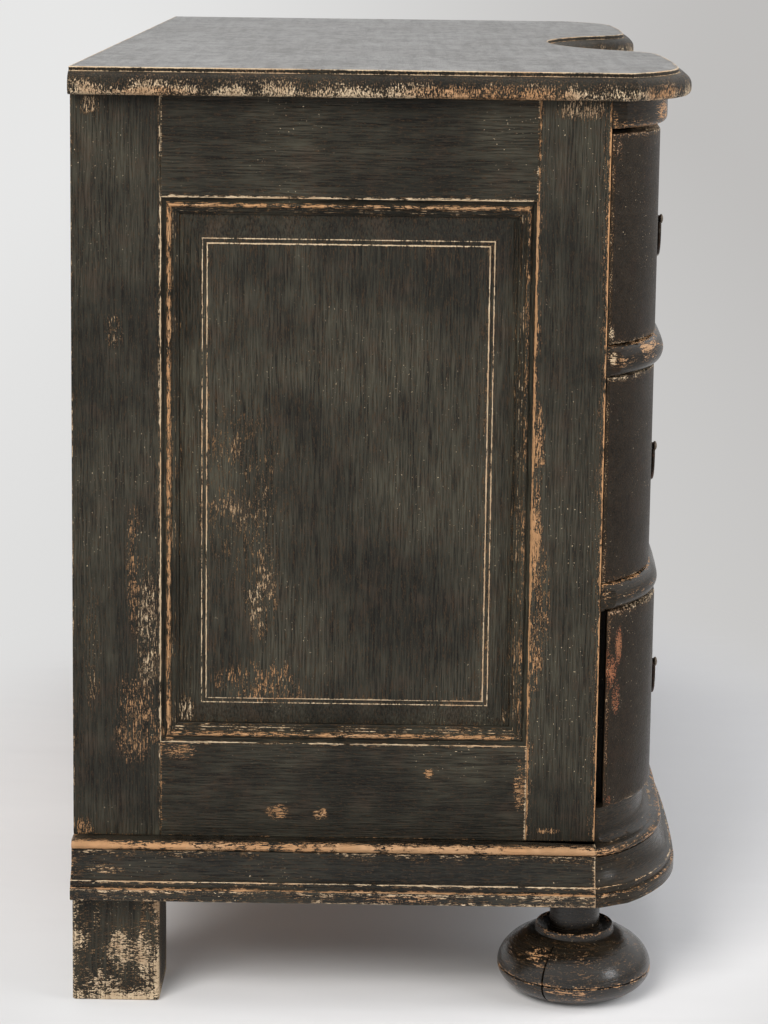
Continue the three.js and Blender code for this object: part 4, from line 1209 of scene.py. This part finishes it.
DRAWER_SPOTS = [
    ((-0.556, -0.205, 0.312), (0.010, 0.010, 0.022), -0.86),
    ((-0.551, -0.213, 0.336), (0.007, 0.006, 0.026), -0.74),
    ((-0.559, -0.199, 0.322), (0.008, 0.008, 0.016), -0.70),
    ((-0.552, -0.211, 0.288), (0.008, 0.007, 0.022), -0.74),
    ((-0.557, -0.207, 0.192), (0.006, 0.007, 0.006), -0.70),
    ((-0.556, -0.203, 0.782), (0.007, 0.007, 0.016), 0.45),
    ((-0.558, -0.199, 0.619), (0.004, 0.005, 0.012), 0.60),
    ((-0.540, -0.222, 0.578), (0.034, 0.034, 0.005), 0.40),
]
BUN_SPOTS = [
    ((-0.566, -0.148, 0.046), (0.034, 0.024, 0.008), -0.52),
    ((-0.560, -0.152, 0.040), (0.034, 0.018, 0.004), 0.36),
    ((-0.585, -0.168, 0.020), (0.020, 0.034, 0.005), -0.52),
]
TOP_SPOTS = [
    ((-0.580, -0.070, 0.830), (0.060, 0.110, 0.011), -0.68),
    ((-0.580, 0.200, 0.829), (0.060, 0.070, 0.008), -0.58),
    ((-0.540, -0.225, 0.832), (0.060, 0.050, 0.010), -0.58),
]


def make_case():
    top_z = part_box("top_board")[1].z
    upright = painted("paint_on_stiles", "z", tone_and_shade=1.2, spots=UPRIGHT_SPOTS)
    level = painted("paint_on_side_rails", "y", tone_and_shade=1.15, spots=LEVEL_SPOTS)
    panel = painted("paint_on_panels", "z", tone_and_shade=1.25, specks=0.5, spots=PANEL_SPOTS)
    base = painted("paint_on_side_base", "y", tone_and_shade=0.7, shine=0.26, sheen=0.3, spots=BASE_SPOTS)
    # The top face's pale grey is partly dust and partly a painted sheen
    top = painted("paint_on_top", "x", hatch="z", tone_and_shade=0.7, shine=0.42, specks=0.6, dust_and_sheen_above=top_z,
                  spots=TOP_SPOTS)
    # The front pieces have the paint at a low tone: painted shade, for faces that turn from the light
    cross = painted("paint_on_front", "xy", tone_and_shade=0.58, shine=0.24, brown=0.4, relief=0.0002, grainy=0.3,
                    worn_share=0.8, spots=FRONT_SPOTS)
    # The buns have the paint at a lower tone still: painted shade, as on their necks under the base
    turned = painted("paint_on_buns", "xy", tone_and_shade=0.40, shine=0.17, sheen=0.5, brown=0.5, relief=0.0003,
                     specks=0.6, grainy=0.4, spots=BUN_SPOTS)
    block = painted("paint_on_blocks", "z", hatch="y", tone_and_shade=1.2, spots=BLOCK_SPOTS)
    make_top(top)
    make_cross_pieces(cross)
    make_base(base, cross)
    for name, side in SIDES:
        make_side(name, side, upright, level, panel)
    make_buns(turned)
    make_blocks(block)


def make_drawers():
    # The drawer fronts have the paint at a low tone: painted shade, for faces that turn from the light
    paint = painted("paint_on_drawers", "x", tone_and_shade=0.56, shine=0.36, sheen=0.12, brown=0.6, relief=0.0003,
                    grainy=0.4, worn_share=0.8, warm=RED_CHIP, spots=DRAWER_SPOTS)
    iron = old_iron("old_iron")
    lengthways = bare_wood("bare_wood_lengthways", "y", 1.1)
    crossways = bare_wood("bare_wood_crossways", "x")
    for level in ("upper", "middle", "lower"):
        make_drawer_front(level, paint)
        make_fittings(level, iron)
        for hand, _ in SIDES:
            ease("drawer_side_" + hand + "_" + level, lengthways, BOARD_ARRIS)
            ease("runner_" + level + "_" + hand, lengthways, THIN_BOARD_ARRIS)
        ease("drawer_back_" + level, crossways, BOARD_ARRIS)
        ease("drawer_bottom_" + level, crossways, THIN_BOARD_ARRIS)
    ease("floor_board", crossways, THIN_BOARD_ARRIS)
    make_back(crossways)


# Camera, floor and light. The backdrop is a paper sweep, which dims from one side of the room to the
# other and is white overhead.
CAMERA_PLACE = Vector((-3.0766, -0.0189, 0.9911))
CAMERA_YAW = math.radians(0.469)
CAMERA_PITCH = math.radians(9.149)
CAMERA_ROLL = math.radians(0.711)
CAMERA_LENS = 101.2
CAMERA_SHIFT = -0.1396
CAMERA_REACH = 200
FLOOR_REACH = 60.0
FLOOR_COLOUR = (0.77, 0.76, 0.76, 1)
FLOOR_DIM_SHARE = 0.96
NEAR_FLOOR_MIDDLE = (0.10, -0.03, 0)
NEAR_FLOOR_RADII = (0.72, 0.44, 1)
BACKDROP_START = 0.88
BACKDROP_END = 1.55
BACKDROP_LIT = (0.80, 0.80, 0.795, 1)
BACKDROP_DIM = (0.52, 0.51, 0.50, 1)
SWEEP_REACH = 1.4
SWEEP_SPREAD = 0.14
CEILING = (0.97, 0.97, 0.97, 1)
CEILING_RISE = (0.05, 0.3)
ROOM_COLOUR = (0.95, 0.97, 1.0, 1)
ROOM_LIGHT = 0.40

# Lamps as (name, place, target, width, height, power, colour, soft). A soft lamp lights without a
# mirror image of itself, and the other kind only gives a glint.
LAMPS = [
    ("key", (-2.9, 1.3, 2.4), (-0.4, 0, 0.4), 1.8, 1.6, 110, (1.0, 0.985, 0.96), True),
    ("window", (-0.9, -3.9, 1.9), (0, -0.2, 0.3), 4.2, 2.8, 140, (0.95, 0.97, 1.0), True),
    ("overhead", (-0.2, 0.2, 3.8), (0, 0, 0), 2.4, 2.4, 45, (1.0, 1.0, 1.0), True),
    ("glint", (-2.4, -3.2, 1.9), (-0.5, -0.2, 0.4), 1.1, 1.1, 32, (0.95, 0.97, 1.0), False),
]


def make_camera():
    """The camera looks along +X and a little down. Its yaw turns it towards +Y."""
    data = bpy.data.cameras.new("camera")
    data.lens = CAMERA_LENS
    data.shift_y = CAMERA_SHIFT
    data.clip_end = CAMERA_REACH
    camera = placed("camera", data)
    yaw = Matrix.Rotation(CAMERA_YAW - math.pi / 2, 4, "Z")
    pitch = Matrix.Rotation(math.pi / 2 - CAMERA_PITCH, 4, "X")
    roll = Matrix.Rotation(CAMERA_ROLL, 4, "Z")
    camera.matrix_world = Matrix.Translation(CAMERA_PLACE) @ yaw @ pitch @ roll
    bpy.context.scene.camera = camera


def sweep_colour(tree, across):
    return tree.tint(BACKDROP_DIM, BACKDROP_LIT, across, -SWEEP_SPREAD, SWEEP_SPREAD)


def make_floor():
    """A pale paper floor. Away from the object it turns into the backdrop's glow, a painted light that
    is lit on one side and dim on the other, and goes by the direction when it is far off, as it does
    in the world."""
    look = Look("pale_floor")
    creases = look.noise(look.scaled((3.0, 1.1, 1.0)), 1.0, 4.0, 0.55)
    colour = look.tint(FLOOR_COLOUR, shaded(FLOOR_COLOUR, FLOOR_DIM_SHARE), creases, 0.3, 0.7)
    look.finish(Base_Color=colour, Roughness=0.9, Specular_IOR_Level=0.1, Normal=look.bump(creases, 0.010))
    level = look.node("ShaderNodeVectorMath", {0: look.place, 1: (1, 1, 0)}, operation="MULTIPLY").outputs[0]
    distance = look.most(look.length(level), SWEEP_REACH / SWEEP_SPREAD)
    across = look.math("DIVIDE", look.parts(look.place)["Y"], distance)
    paper = look.node("ShaderNodeEmission", {"Color": sweep_colour(look, across), "Strength": 1.0})
    away = look.distance(NEAR_FLOOR_MIDDLE, NEAR_FLOOR_RADII)
    share = look.times(look.seen(), look.step(away, BACKDROP_START, BACKDROP_END))
    surface = look.blend(share, look.shader.outputs[0], paper.outputs[0])
    look.fill(look.nodes["Material Output"].inputs[0], surface)
    mesh = bpy.data.meshes.new("floor")
    r = FLOOR_REACH
    mesh.from_pydata([(-r, -r, 0), (r, -r, 0), (r, r, 0), (-r, r, 0)], [], [(0, 1, 2, 3)])
    mesh.materials.append(look.material)
    placed("floor", mesh)


def make_lamp(name, place, target, width, height, power, colour, soft):
    data = bpy.data.lights.new(name, "AREA")
    data.shape = "RECTANGLE"
    data.size = width
    data.size_y = height
    data.energy = power
    data.color = colour
    lamp = placed(name, data)
    aim = (Vector(target) - Vector(place)).to_track_quat("-Z", "Y")
    lamp.matrix_world = Matrix.Translation(place) @ aim.to_matrix().to_4x4()
    lamp.visible_glossy = not soft
    lamp.visible_diffuse = soft


def make_world():
    """A dim even room. The camera and shiny paint see it as the backdrop's paper, white overhead."""
    world = bpy.data.worlds.new("pale_room")
    bpy.context.scene.world = world
    tree = Tree(world)
    tree.nodes.clear()
    towards = tree.parts(tree.node("ShaderNodeTexCoord", {}).outputs["Generated"])
    sweep = tree.tint(sweep_colour(tree, towards["Y"]), CEILING, towards["Z"], *CEILING_RISE)
    paper = tree.node("ShaderNodeBackground", {"Color": sweep})
    even = tree.node("ShaderNodeBackground", {"Color": ROOM_COLOUR, "Strength": ROOM_LIGHT})
    whole = tree.blend(tree.seen(), even.outputs[0], paper.outputs[0])
    tree.node("ShaderNodeOutputWorld", {0: whole})


make_case()
make_drawers()
make_camera()
make_floor()
make_world()
for lamp in LAMPS:
    make_lamp(*lamp)
bpy.context.scene.view_settings.view_transform = "Standard"
